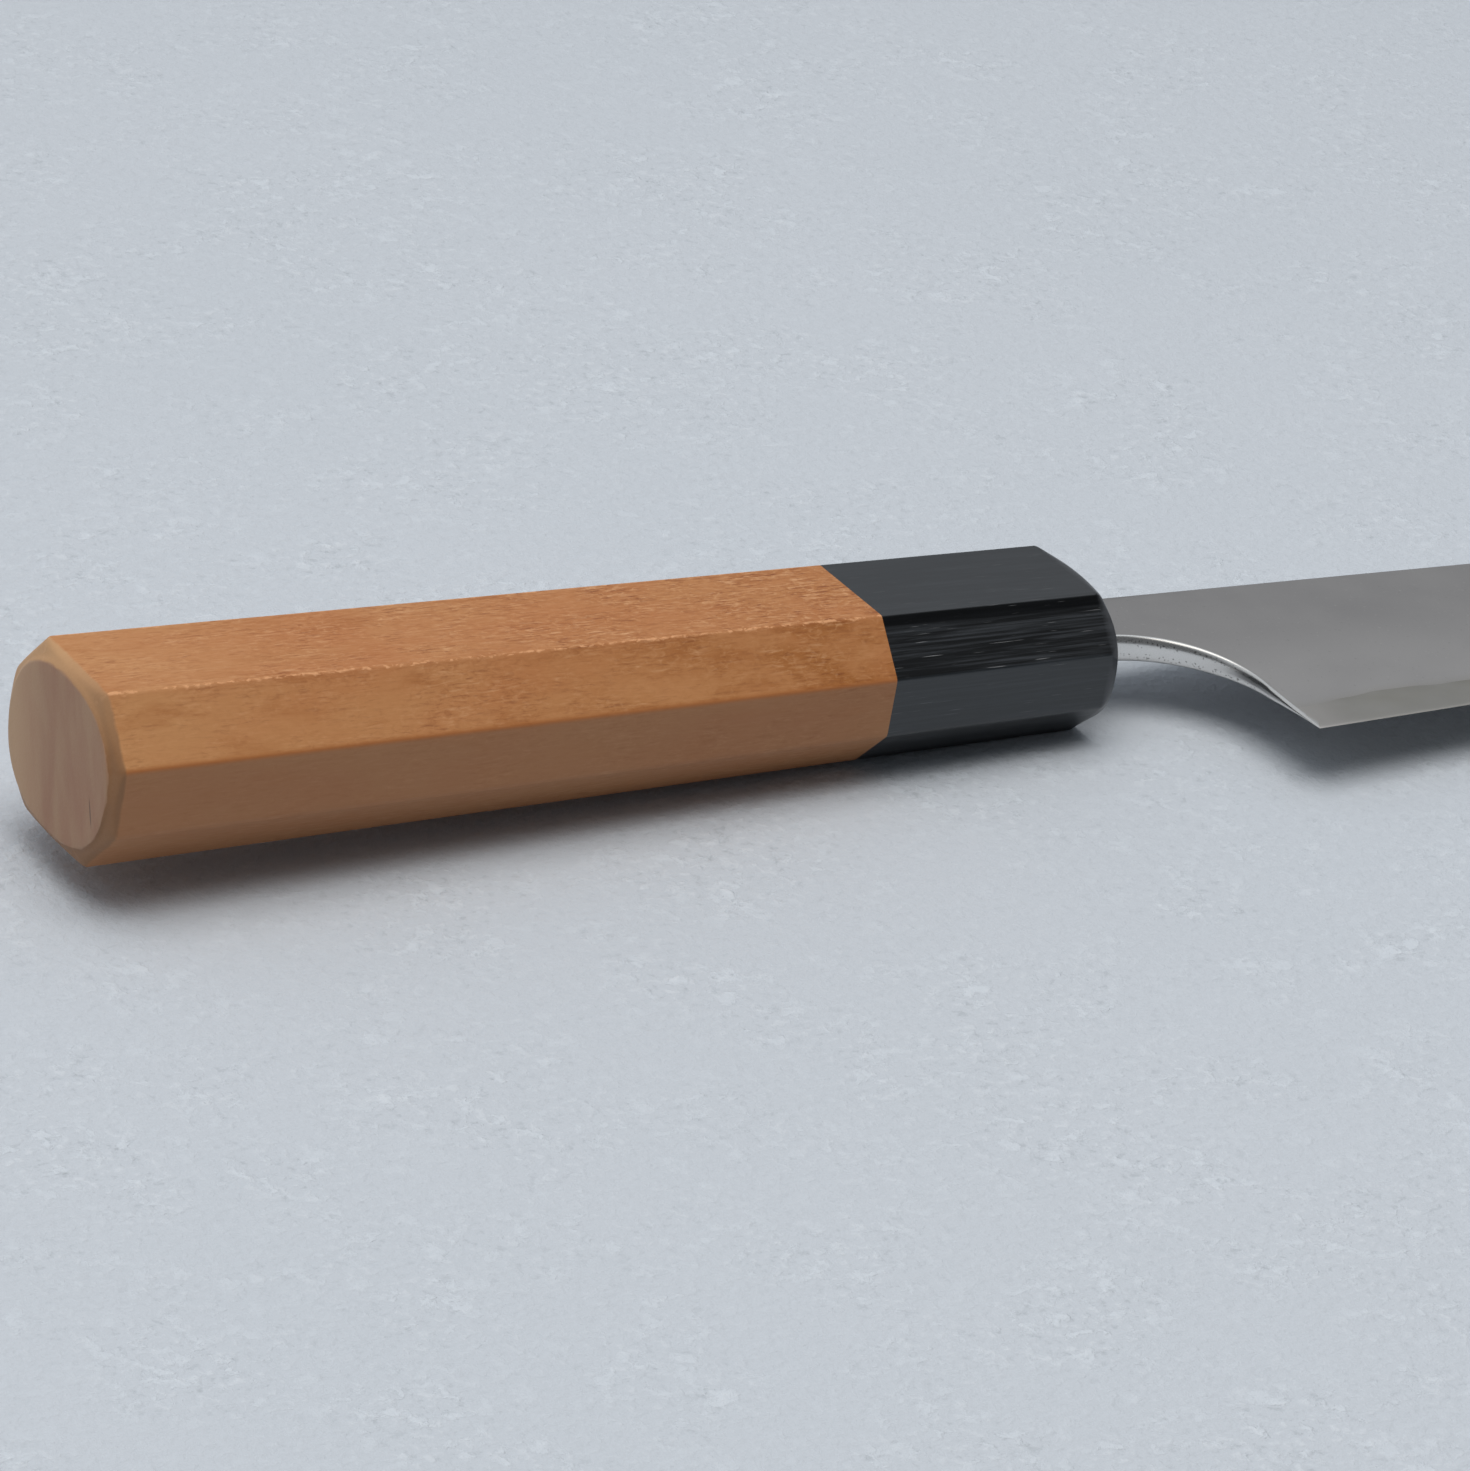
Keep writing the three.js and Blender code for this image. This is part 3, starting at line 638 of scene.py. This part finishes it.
octagon_sizes = {
    "Handle length": HANDLE_LENGTH, "Butt size": BUTT_SIZE, "Butt corner": BUTT_CORNER,
    "Front size": FRONT_SIZE, "Front corner": FRONT_CORNER, "Ease fullness": 1.6,
    "Ridge power": 130.0, "Oval power": 2.35, "Ease share": 0.15, "Points round": 512, "Rings": 130,
    "Hand waver": 0.004, "Waver size": 14 * MM, "Bore diameter": BORE_DIAMETER,
}
grip = octagon_piece("grip", cherry, {
    **octagon_sizes, "Eased end": 0.0, "Plain end": JOINT, "Ease depth": 1.5 * MM, "End power": 6.0,
    "Oval size": Vector((20.3, 16.1, 1)) * MM, "Oval shift": -0.37 * MM,
    "Bore start": DOWEL_BACK, "Bore end": JOINT + PAST,
    "Slot low": Vector((TANG_HOLE_END, 0, 0)) - TANG_HOLE_HALF,
    "Slot high": Vector((JOINT, 0, 0)) + TANG_HOLE_HALF,
})
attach(grip, "root")
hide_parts("handle_body")
print("grip:", len(grip.data.polygons), "faces")

# %% [markdown]
# ## Black wood
# The ferrule is planed from a dense black wood and buffed until it shines softly. Its colour is nearly even,
# with long darker lines along the grain and a few open pores that catch the light as short pale dashes.

# %% Buffed black wood
# Smooth on the broad flats and the sides, where a satin reflection shows. Their colour there is partly
# painted reflection: a lighter grey on the broad flats for the bright room, and a blue tint on the sides for
# the pale table. The slanted flats are cut across the grain's lines, so these show long streaks and a few
# pale open pores.
LINE_SIZE = (17 * MM, 0.36 * MM, 0.36 * MM)

ebony, tree, surface, place, normal = new_material("buffed black wood")
turned_xyz, on_flat, off_flat = flat_masks(tree, normal)
squarest = add(tree, LARGER, turned_xyz["Y"], turned_xyz["Z"])
slanted = add(tree, RANGE, squarest, 0.95, 0.8, 0.3, 1.0)
long_lines = stretched_noise(tree, place, LINE_SIZE, Detail=4, Roughness=0.65, Distortion=0.4)
streak = add(tree, RANGE, long_lines, 0.44, 0.67)
streak = add(tree, BLEND, streak, linear("#08090b"), linear("#383b3f"))
# Grey on the broad flats and blue-black on the sides: partly painted reflection.
black = add(tree, BLEND, on_flat, linear("#131b21"), linear("#25282c"))
black = add(tree, BLEND, slanted, black, streak)
print("black wood: nodes so far", len(tree.nodes))

# %% Pores, ridges and sheen of the black wood
# The slanted flats are blackest at the ridge, and shine least there. The eased front is paler.
PORE_SIZE = (4 * MM, 0.12 * MM, 0.12 * MM)
LINE_DEPTH = 0.03 * MM
MOST_BLACK = 0.9

pores = stretched_noise(tree, place, PORE_SIZE, Detail=1)
pale_pore = add(tree, RANGE, pores, 0.71, 0.79, 0.0, 0.8)
pale_pore = add(tree, TIMES, pale_pore, slanted)
flat_near = add(tree, ATTRIBUTE, attribute_name="flat_ridge").node.outputs["Fac"]
end_near = add(tree, ATTRIBUTE, attribute_name="end_nearness").node.outputs["Fac"]
off_end = add(tree, RANGE, end_near, 0.9, 0.55)
blackest = add(tree, RANGE, flat_near, 0.004, 0.1, 0.0, MOST_BLACK)
for mask in (off_flat, off_end):
    blackest = add(tree, TIMES, blackest, mask)
paler_front = add(tree, RANGE, end_near, 0.02, 0.5, 0.0, 0.6)
for share, tint in ((blackest, "#07080a"), (pale_pore, "#8b8c8d"), (paler_front, "#505256")):
    black = add(tree, BLEND, share, black, linear(tint))
rough = add(tree, RANGE, long_lines, 0.3, 0.7, 0.3, 0.36)
shine = add(tree, RANGE, blackest, 0.0, MOST_BLACK, 0.5, 0.18)
strength = add(tree, RANGE, slanted, 0.0, 1.0, 0.0, 0.15)
relief = add(tree, BUMP, {"Height": long_lines, "Strength": strength, "Distance": LINE_DEPTH})
give(tree, surface, {
    "Base Color": black, "Roughness": rough, "Specular IOR Level": shine, "Normal": relief, "IOR": 1.65,
})
print("finish:", ebony.name)

# %% [markdown]
# ## Ferrule
# The ferrule is the same octagon, eased at its front. The dowel's bore stops short of the front, and a slot
# as thick and high as the blade's neck goes through the rest.

# %% Make the ferrule
NECK_THICKNESS = 3.2 * MM
NECK_TOP = 4.62 * MM
NECK_DROP = 4.1 * MM
GLUE_LINE = 0.1 * MM
FERRULE_BORE_END = HANDLE_LENGTH - 6 * MM

ferrule = octagon_piece("black_ferrule", ebony, {
    **octagon_sizes, "Eased end": HANDLE_LENGTH, "Plain end": JOINT, "Ease depth": 1.4 * MM,
    "End power": 40.0, "Oval size": Vector((20.2, 15.2, 1)) * MM, "Oval shift": 0.0,
    "Ease share": 0.22, "Rings": 110,
    "Bore start": JOINT - PAST, "Bore end": FERRULE_BORE_END,
    "Slot low": Vector((JOINT - PAST, -NECK_DROP - GLUE_LINE, -NECK_THICKNESS / 2 - GLUE_LINE)),
    "Slot high": Vector((HANDLE_LENGTH + PAST, NECK_TOP + GLUE_LINE, NECK_THICKNESS / 2 + GLUE_LINE)),
})
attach(ferrule, "root")
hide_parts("ferrule")
print("ferrule:", len(ferrule.data.polygons), "faces")

# %% [markdown]
# ## Blade outline
# The blade is forged from three layers: a hard core between two softer sides. All three follow one outline:
# the spine falls slowly to the tip, the edge rises to meet it, and the heel is cut back in a quarter ellipse
# up to the neck. The outline is written as a few formulas, because lines across the blade can then be laid
# as densely as the surface needs.

# %% Outline of the steel
HEEL = HANDLE_LENGTH + 15.55 * MM
TIP = HEEL + 150 * MM
HEEL_DROP = 25.2 * MM
TIP_DROP = 1.5 * MM
SPINE_SLOPE, SPINE_CURVE_POWER = 0.0152, 4
EDGE_SLOPE, EDGE_CURVE_POWER = 0.047, 3.2
NECK_END = HANDLE_LENGTH + 2.15 * MM
SWEEP_LENGTH, SWEEP_DROP = 12.7 * MM, 12.8 * MM


def spine_y(x):
    run = max(x - HANDLE_LENGTH, 0)
    reach = TIP - HANDLE_LENGTH
    fall = NECK_TOP + TIP_DROP - SPINE_SLOPE * reach
    return NECK_TOP - SPINE_SLOPE * run - fall * (run / reach) ** SPINE_CURVE_POWER


def edge_y(x):
    run = x - HEEL
    rise = HEEL_DROP - TIP_DROP - EDGE_SLOPE * (TIP - HEEL)
    return -HEEL_DROP + EDGE_SLOPE * run + rise * (max(run, 0) / (TIP - HEEL)) ** EDGE_CURVE_POWER


print("blade height at the heel:", round((spine_y(HEEL) - edge_y(HEEL)) / MM, 1), "mm")

# %% [markdown]
# ## Blade section
# At the neck the steel is a flat bar. Ahead of it the sides are ground convex, thin behind the edge, with a
# small bevel at the edge itself. The core comes out from under the sides a few millimetres above the edge,
# along a weld line that wavers with the forging.

# %% Thickness of the steel and of its core
TANG_END = HANDLE_LENGTH - 84 * MM
SHOULDER = HANDLE_LENGTH - 4.5 * MM
TANG_ROOT_HEIGHT, TANG_END_HEIGHT, TANG_END_THICKNESS = 7.6 * MM, 5 * MM, 2.4 * MM
TIP_THICKNESS = 0.7 * MM
GRIND_START = 8 * MM
GRIND_LOWER_POWER, GRIND_UPPER_POWER = 1.45, 2.8
BEHIND_EDGE = 0.16 * MM
NECK_CORE, TIP_CORE = 0.75 * MM, 0.22 * MM
HEEL_DIP, HEEL_DIP_RUN = 0.15, 5 * MM
WELD_WAVES = ((31 * MM, 0.045, -4 * MM), (13 * MM, 0.025, 3 * MM), (5.3 * MM, 0.012, 1 * MM))


def mix(a, b, share):
    return a + (b - a) * share


def within(share):
    return min(max(share, 0), 1)


def tang_share(x):
    return (x - TANG_END) / (SHOULDER - TANG_END)


def blade_share(x):
    return within((x - HANDLE_LENGTH) / (TIP - HANDLE_LENGTH))


def half_thickness(x, y):
    if x <= SHOULDER:
        return mix(TANG_END_THICKNESS, NECK_THICKNESS, tang_share(x)) / 2
    flat = mix(NECK_THICKNESS, TIP_THICKNESS, blade_share(x)) / 2
    height = spine_y(x) - edge_y(x)
    level = within((y - edge_y(x)) / height) if height > 0 else 1
    swell = 1 - (1 - level ** GRIND_LOWER_POWER) ** GRIND_UPPER_POWER
    begun = within((x - HANDLE_LENGTH) / GRIND_START)
    begun = begun * begun * (3 - 2 * begun)
    return mix(flat, mix(BEHIND_EDGE / 2, flat, swell), begun)


def half_core(x):
    run = max(x - HEEL, 0)
    waver = sum(h * math.sin(2 * math.pi * (run + start) / length) for length, h, start in WELD_WAVES)
    dip = HEEL_DIP * math.exp(-(run / HEEL_DIP_RUN) ** 2)
    return mix(NECK_CORE, TIP_CORE, blade_share(x)) / 2 * (1 + waver - dip)


foot = -NECK_DROP - SWEEP_DROP
print("steel at the heel notch's foot:", round(2 * half_thickness(HEEL, foot) / MM, 2), "mm thick")

# %% [markdown]
# ## Lines across the steel
# Each layer is a loft through lines that run from the lower outline to the spine. On the notch they fan out,
# so that they meet its curve nearly square, and its corner can be rounded and polished as the real one is.

# %% Lay the lines
# A line is its lower end, its end on the spine, and whether it starts on the sharp edge.
SWEEP_LINES, NOTCH_LINES, EDGE_LINES = 90, 36, 260
SPINE_ABOVE_HEEL = 18 * MM
TIP_CROWDING = 0.6
SHOULDER_SLOPE = 0.6 * MM


def steel_lines():
    lines = []
    for x in (TANG_END, SHOULDER):
        half = mix(TANG_END_HEIGHT, TANG_ROOT_HEIGHT, tang_share(x)) / 2
        lines.append(((x, -half), (x, half), False))
    for x in (SHOULDER + SHOULDER_SLOPE, HANDLE_LENGTH, NECK_END):
        lines.append(((x, -NECK_DROP), (x, spine_y(x)), False))
    count = SWEEP_LINES + NOTCH_LINES
    fan_end = HEEL + SPINE_ABOVE_HEEL
    for k in range(1, count):
        high_x = mix(NECK_END, fan_end, k / count)
        turn = min(k, SWEEP_LINES) / SWEEP_LINES * math.pi / 2
        down = max(k - SWEEP_LINES, 0) / NOTCH_LINES
        low_x = mix(NECK_END + SWEEP_LENGTH * math.sin(turn), HEEL, down)
        low_y = mix(-NECK_DROP - SWEEP_DROP * (1 - math.cos(turn)), -HEEL_DROP, down)
        lines.append(((low_x, low_y), (high_x, spine_y(high_x)), False))
    for k in range(EDGE_LINES + 1):
        even = k / EDGE_LINES
        share = mix(even, math.sin(even * math.pi / 2), TIP_CROWDING)
        low_x, high_x = mix(HEEL, TIP, share), mix(fan_end, TIP, share)
        lines.append(((low_x, edge_y(low_x)), (high_x, spine_y(high_x)), True))
    return lines


lines = steel_lines()
print("lines across the steel:", len(lines))

# %% Points on a line
# A point is given by its level on the line, from 0 at the lower end to 1 on the spine.
NOTCH_ROUND, NOTCH_ROUND_DEPTH = 0.65 * MM, 1.4 * MM
SPINE_ROUND = 0.3 * MM
LARGEST_ROUND, LARGEST_NOTCH_ROUND = 0.6, 0.85
BEVEL = math.tan(math.radians(12))
NOTHING = 1e-6 * MM


def corner_fall(distance, width, depth):
    if distance >= width:
        return 0.0
    inside = 1 - distance / width
    return depth * (1 - math.sqrt(1 - inside * inside))


def steel_point(line, level):
    low_end, high_end, sharp = line
    x, y = (mix(low, high, level) for low, high in zip(low_end, high_end))
    length = math.dist(low_end, high_end)
    if length < NOTHING:
        return x, y, 0.0, 0.0
    full = half_thickness(x, y)
    from_low, from_spine = level * length, (1 - level) * length
    if sharp:
        lower = min(full, from_low * BEVEL)
    else:
        lower = full - corner_fall(from_low, NOTCH_ROUND, min(NOTCH_ROUND_DEPTH, full * LARGEST_NOTCH_ROUND))
    spine_round = min(SPINE_ROUND, lower * LARGEST_ROUND)
    half = lower - corner_fall(from_spine, spine_round, spine_round)
    return x, y, half, min(half, half_core(x))


print("bevel at the edge:", round(2 * math.degrees(math.atan(BEVEL))), "degrees in all")

# %% Find the weld line and the polished round
# The weld is where the steel grows thicker than its core. Halving a stretch that holds the place finds it.
HALVINGS = 36
POLISH_REACH, POLISH_FADE = 1.15, 0.15


def is_covered(line, level):
    x, _, half, _ = steel_point(line, level)
    return half > half_core(x)


def weld_level(line):
    if is_covered(line, 0):
        return 0.0
    bare, clad = 0.0, 0.5
    for _ in range(HALVINGS):
        middle = (bare + clad) / 2
        bare, clad = (bare, middle) if is_covered(line, middle) else (middle, clad)
    return clad


def finish_values(line, level, weld):
    low_end, high_end, sharp = line
    length = math.dist(low_end, high_end)
    polish = 0.0 if sharp else within((POLISH_REACH - level * length / NOTCH_ROUND) / POLISH_FADE)
    return (level - weld) * length / MM, polish


welds = [weld_level(line) for line in lines]
heel_weld, (heel_low, heel_high, _) = next(pair for pair in zip(welds, lines) if pair[1][2])
weld_height = heel_weld * (heel_high[1] - heel_low[1])
print("weld line above the heel:", round(weld_height / MM, 2), "mm")

# %% [markdown]
# ## The three layers
# The layers share every point where they touch, so no gap or overlap shows at the weld line. Where a layer
# runs out, its two faces share a point. Rows crowd towards the notch and the spine, where the corners are
# round. Each point also keeps two values for the steel's finish: its distance from the weld line in
# millimetres, and whether it lies on the polished round of the notch.

# %% Rows on a line
BARE_ROWS = (0, 0.02, 0.06, 0.14, 0.3, 0.5, 0.75)
LOW_ROWS, MIDDLE_ROWS, HIGH_ROWS = 26, 14, 8
LOW_SHARE, HIGH_SHARE = 0.12, 0.02
NOTCH_CROWDING, EDGE_CROWDING, CROWDING_RUN = 2, 1.2, 40 * MM


def clad_rows(line):
    crowding = mix(NOTCH_CROWDING, EDGE_CROWDING, within((line[0][0] - HEEL) / CROWDING_RUN))
    rows = [LOW_SHARE * (k / LOW_ROWS) ** crowding for k in range(LOW_ROWS)]
    rows += [mix(LOW_SHARE, 1 - HIGH_SHARE, k / MIDDLE_ROWS) for k in range(MIDDLE_ROWS)]
    return rows + [1 - HIGH_SHARE * (1 - k / HIGH_ROWS) ** 2 for k in range(HIGH_ROWS + 1)]


print("rows on a side layer:", len(clad_rows(lines[0])))

# %% Loft a layer
# near and far give a layer's two faces from the half thickness and the half core at a point.
def steel_layer(name, with_bare, near, far, material):
    work = bmesh.new()
    weld_gap = work.verts.layers.float.new("weld_gap")
    polish = work.verts.layers.float.new("polish")
    rings, shut = [], set()
    for line, weld in zip(lines, welds):
        levels = [row * weld for row in BARE_ROWS] if with_bare else []
        levels += [mix(weld, 1, row) for row in clad_rows(line)]
        below, above, last = [], [], None
        for level in levels:
            x, y, half, core = steel_point(line, level)
            if last is None or math.dist(last, (x, y)) > SAME_POINT:
                last, low, high = (x, y), near(half, core), far(half, core)
                lower = upper = work.verts.new((x, y, low))
                if high - low > NOTHING:
                    upper = work.verts.new((x, y, high))
                else:
                    shut.add(lower)
                for vertex in (lower, upper):
                    vertex[weld_gap], vertex[polish] = finish_values(line, level, weld)
            below.append(lower)
            above.append(upper)
        rings.append(below + above[::-1])
    count = len(rings[0])
    for ring, after in zip(rings, rings[1:]):
        for j in range(count):
            corners = dict.fromkeys((ring[j], ring[(j + 1) % count], after[(j + 1) % count], after[j]))
            if len(corners) > 2 and not shut.issuperset(corners):
                work.faces.new(list(corners))
    work.faces.new(list(dict.fromkeys(reversed(rings[0]))))
    bmesh.ops.delete(work, geom=[vertex for vertex in work.verts if not vertex.link_faces], context="VERTS")
    mesh = bpy.data.meshes.new(name)
    work.to_mesh(mesh)
    work.free()
    mesh.shade_smooth()
    mesh.set_sharp_from_angle(angle=SHARP)
    mesh.materials.append(material)
    piece = bpy.data.objects.new(name, mesh)
    bpy.context.scene.collection.objects.link(piece)
    return piece


print("points round the core on one line:", 2 * (len(BARE_ROWS) + len(clad_rows(lines[0]))))

# %% [markdown]
# ## Steel finishes
# The sides are soft stainless steel, ground on a wheel and then rubbed to an even matt grey with faint
# clouds. The core is harder and was ground finer, so it is a little smoother, with olive stains under the
# weld line. Neither is a mirror: both show a broad, soft reflection of the room. Only the notch's round is
# polished, for the finger. It is the palest steel on the knife, partly as polished steel and partly as a
# painted highlight, and it shows the bright room, the dim front and the table in turn.

# %% Satin stainless steel
# An even grey, a shade lighter on the lower part of the grind, with faint clouds, specks and very fine lines.
CLOUD, SPECK, PIT = 9 * MM, 0.45 * MM, 0.3 * MM
LOWER_FROM, LOWER_FULL, LOWER_RAGGED = -6 * MM, -12.5 * MM, 5 * MM

satin, tree, surface, place, normal = new_material("satin stainless steel")
cloud = add(tree, NOISE, {"Vector": place, "Scale": 1 / CLOUD, "Detail": 5, "Roughness": 0.6})
speck = add(tree, NOISE, {"Vector": place, "Scale": 1 / SPECK, "Detail": 2})
pits = add(tree, NOISE, {"Vector": place, "Scale": 1 / PIT, "Detail": 1})
height = add(tree, SPLIT, place).node.outputs["Y"]
ragged = add(tree, RANGE, cloud, 0.0, 1.0, -LOWER_RAGGED, LOWER_RAGGED)
height = add(tree, PLUS, height, ragged)
lower = add(tree, RANGE, height, LOWER_FROM, LOWER_FULL)
upper_grey = add(tree, BLEND, cloud, linear("#b9b4b2"), linear("#c6c2bf"))
lower_grey = add(tree, BLEND, cloud, linear("#c3bebb"), linear("#cfcbc8"))
grey = add(tree, BLEND, lower, upper_grey, lower_grey)
print("satin steel: nodes so far", len(tree.nodes))

# %% Specks, pits and polish of the satin steel
# The pits lie on the polished round, where it is steep.
SCRATCH_SIZE, SCRATCH_DEPTH = (12 * MM, 0.12 * MM, 0.12 * MM), 0.02 * MM
# The polished round's pale tint is partly a painted highlight.
POLISHED_ROUGHNESS, POLISHED_AND_HIGHLIGHT_TINT = 0.24, "#e2e0dd"

weld_gap = add(tree, ATTRIBUTE, attribute_name="weld_gap").node.outputs["Fac"]
polish = add(tree, ATTRIBUTE, attribute_name="polish").node.outputs["Fac"]
near_weld = add(tree, RANGE, weld_gap, 0.0, 1.4, 0.35, 0.0)
dark_speck = add(tree, RANGE, speck, 0.66, 0.76, 0.0, 0.3)
pale_speck = add(tree, RANGE, speck, 0.33, 0.25, 0.0, 0.4)
steep = add(tree, UNSIGNED, normal)
steep = add(tree, SPLIT, steep).node.outputs["Z"]
steep = add(tree, RANGE, steep, 0.6, 0.3)
pit = add(tree, RANGE, pits, 0.6, 0.68, 0.0, 0.6)
for mask in (polish, steep):
    pit = add(tree, TIMES, pit, mask)
for share, tint in (
    (near_weld, "#bbb5ab"), (dark_speck, "#9d9a95"), (pale_speck, "#dcd9d4"),
    (polish, POLISHED_AND_HIGHLIGHT_TINT), (pit, "#3d3a37"),
):
    grey = add(tree, BLEND, share, grey, linear(tint))
scratch = stretched_noise(tree, place, SCRATCH_SIZE, Detail=2)
matt = add(tree, RANGE, cloud, 0.3, 0.7, 0.38, 0.46)
rough = add(tree, RANGE, polish, 0.0, 1.0, matt, POLISHED_ROUGHNESS)
relief = add(tree, BUMP, {"Height": scratch, "Strength": 0.05, "Distance": SCRATCH_DEPTH})
give(tree, surface, {"Base Color": grey, "Roughness": rough, "Normal": relief, "Metallic": 1.0})
print("finish:", satin.name)

# %% Ground core steel
# Finer ground than the sides, so a shade smoother, with olive stains that fade towards the edge and the heel.
STAIN_SIZE = (11 * MM, 5 * MM, 5 * MM)
CLEAN_UNTIL, STAINED_FROM = HEEL + 2 * MM, HEEL + 7 * MM

ground, tree, surface, place, _ = new_material("ground core steel")
weld_gap = add(tree, ATTRIBUTE, attribute_name="weld_gap").node.outputs["Fac"]
polish = add(tree, ATTRIBUTE, attribute_name="polish").node.outputs["Fac"]
cloud = add(tree, NOISE, {"Vector": place, "Scale": 1 / CLOUD, "Detail": 4})
stain = stretched_noise(tree, place, STAIN_SIZE, Detail=3)
stain = add(tree, RANGE, stain, 0.4, 0.62, 0.15, 0.9)
under_weld = add(tree, RANGE, weld_gap, -4.5, 0.0, 0.35, 1.0)
from_heel = add(tree, SPLIT, place).node.outputs["X"]
from_heel = add(tree, RANGE, from_heel, CLEAN_UNTIL, STAINED_FROM)
for mask in (under_weld, from_heel):
    stain = add(tree, TIMES, stain, mask)
grey = add(tree, BLEND, cloud, linear("#b8b3ab"), linear("#c5c1bb"))
grey = add(tree, BLEND, from_heel, linear("#cbc5bf"), grey)
for share, tint in ((stain, "#b1aca1"), (polish, POLISHED_AND_HIGHLIGHT_TINT)):
    grey = add(tree, BLEND, share, grey, linear(tint))
matt = add(tree, RANGE, cloud, 0.3, 0.7, 0.34, 0.42)
rough = add(tree, RANGE, polish, 0.0, 1.0, matt, POLISHED_ROUGHNESS)
give(tree, surface, {"Base Color": grey, "Roughness": rough, "Metallic": 1.0})
print("finish:", ground.name)

# %% Make the three layers
core = steel_layer("core_layer", True, lambda half, core: -core, lambda half, core: core, ground)
right_side = steel_layer("right_side_layer", False, lambda half, core: core, lambda half, core: half, satin)
left_side = steel_layer("left_side_layer", False, lambda half, core: -half, lambda half, core: -core, satin)
for piece, node, slot_name in (
    (core, "core_steel", "core_steel"),
    (right_side, "right_cladding", "cladding_steel"),
    (left_side, "left_cladding", "cladding_steel"),
):
    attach(piece, "root")
    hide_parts(node)
    print(piece.name, len(piece.data.polygons), "faces")

# %% [markdown]
# ## Hidden pieces
# The dowel and the resin are shut inside the handle. They stay as the frame has them and get plain finishes,
# so that they look right when the handle is taken apart.

# %% Turned beech
# Pale hardwood with fine lines along the grain.
RAY_SIZE = (4 * MM, 0.5 * MM, 0.5 * MM)
dowel_wood, tree, surface, place, _ = new_material("turned beech")
rays = stretched_noise(tree, place, RAY_SIZE, Detail=3)
beech = add(tree, BLEND, rays, linear("#b8925f"), linear("#dcc094"))
give(tree, surface, {"Base Color": beech, "Roughness": 0.7})
print("finish:", dowel_wood.name)

# %% Cured resin
# Amber, slightly cloudy and smooth.
RESIN_CLOUD = 3 * MM
resin, tree, surface, place, _ = new_material("cured resin")
cloud = add(tree, NOISE, {"Vector": place, "Scale": 1 / RESIN_CLOUD, "Detail": 3})
amber = add(tree, BLEND, cloud, linear("#cdb988"), linear("#e0d0a4"))
give(tree, surface, {"Base Color": amber, "Roughness": 0.3})
for node, material in (("tenon_dowel", dowel_wood), ("tang_resin", resin)):
    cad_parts[node].data.materials.clear()
    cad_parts[node].data.materials.append(material)
    print(node, "gets", material.name)
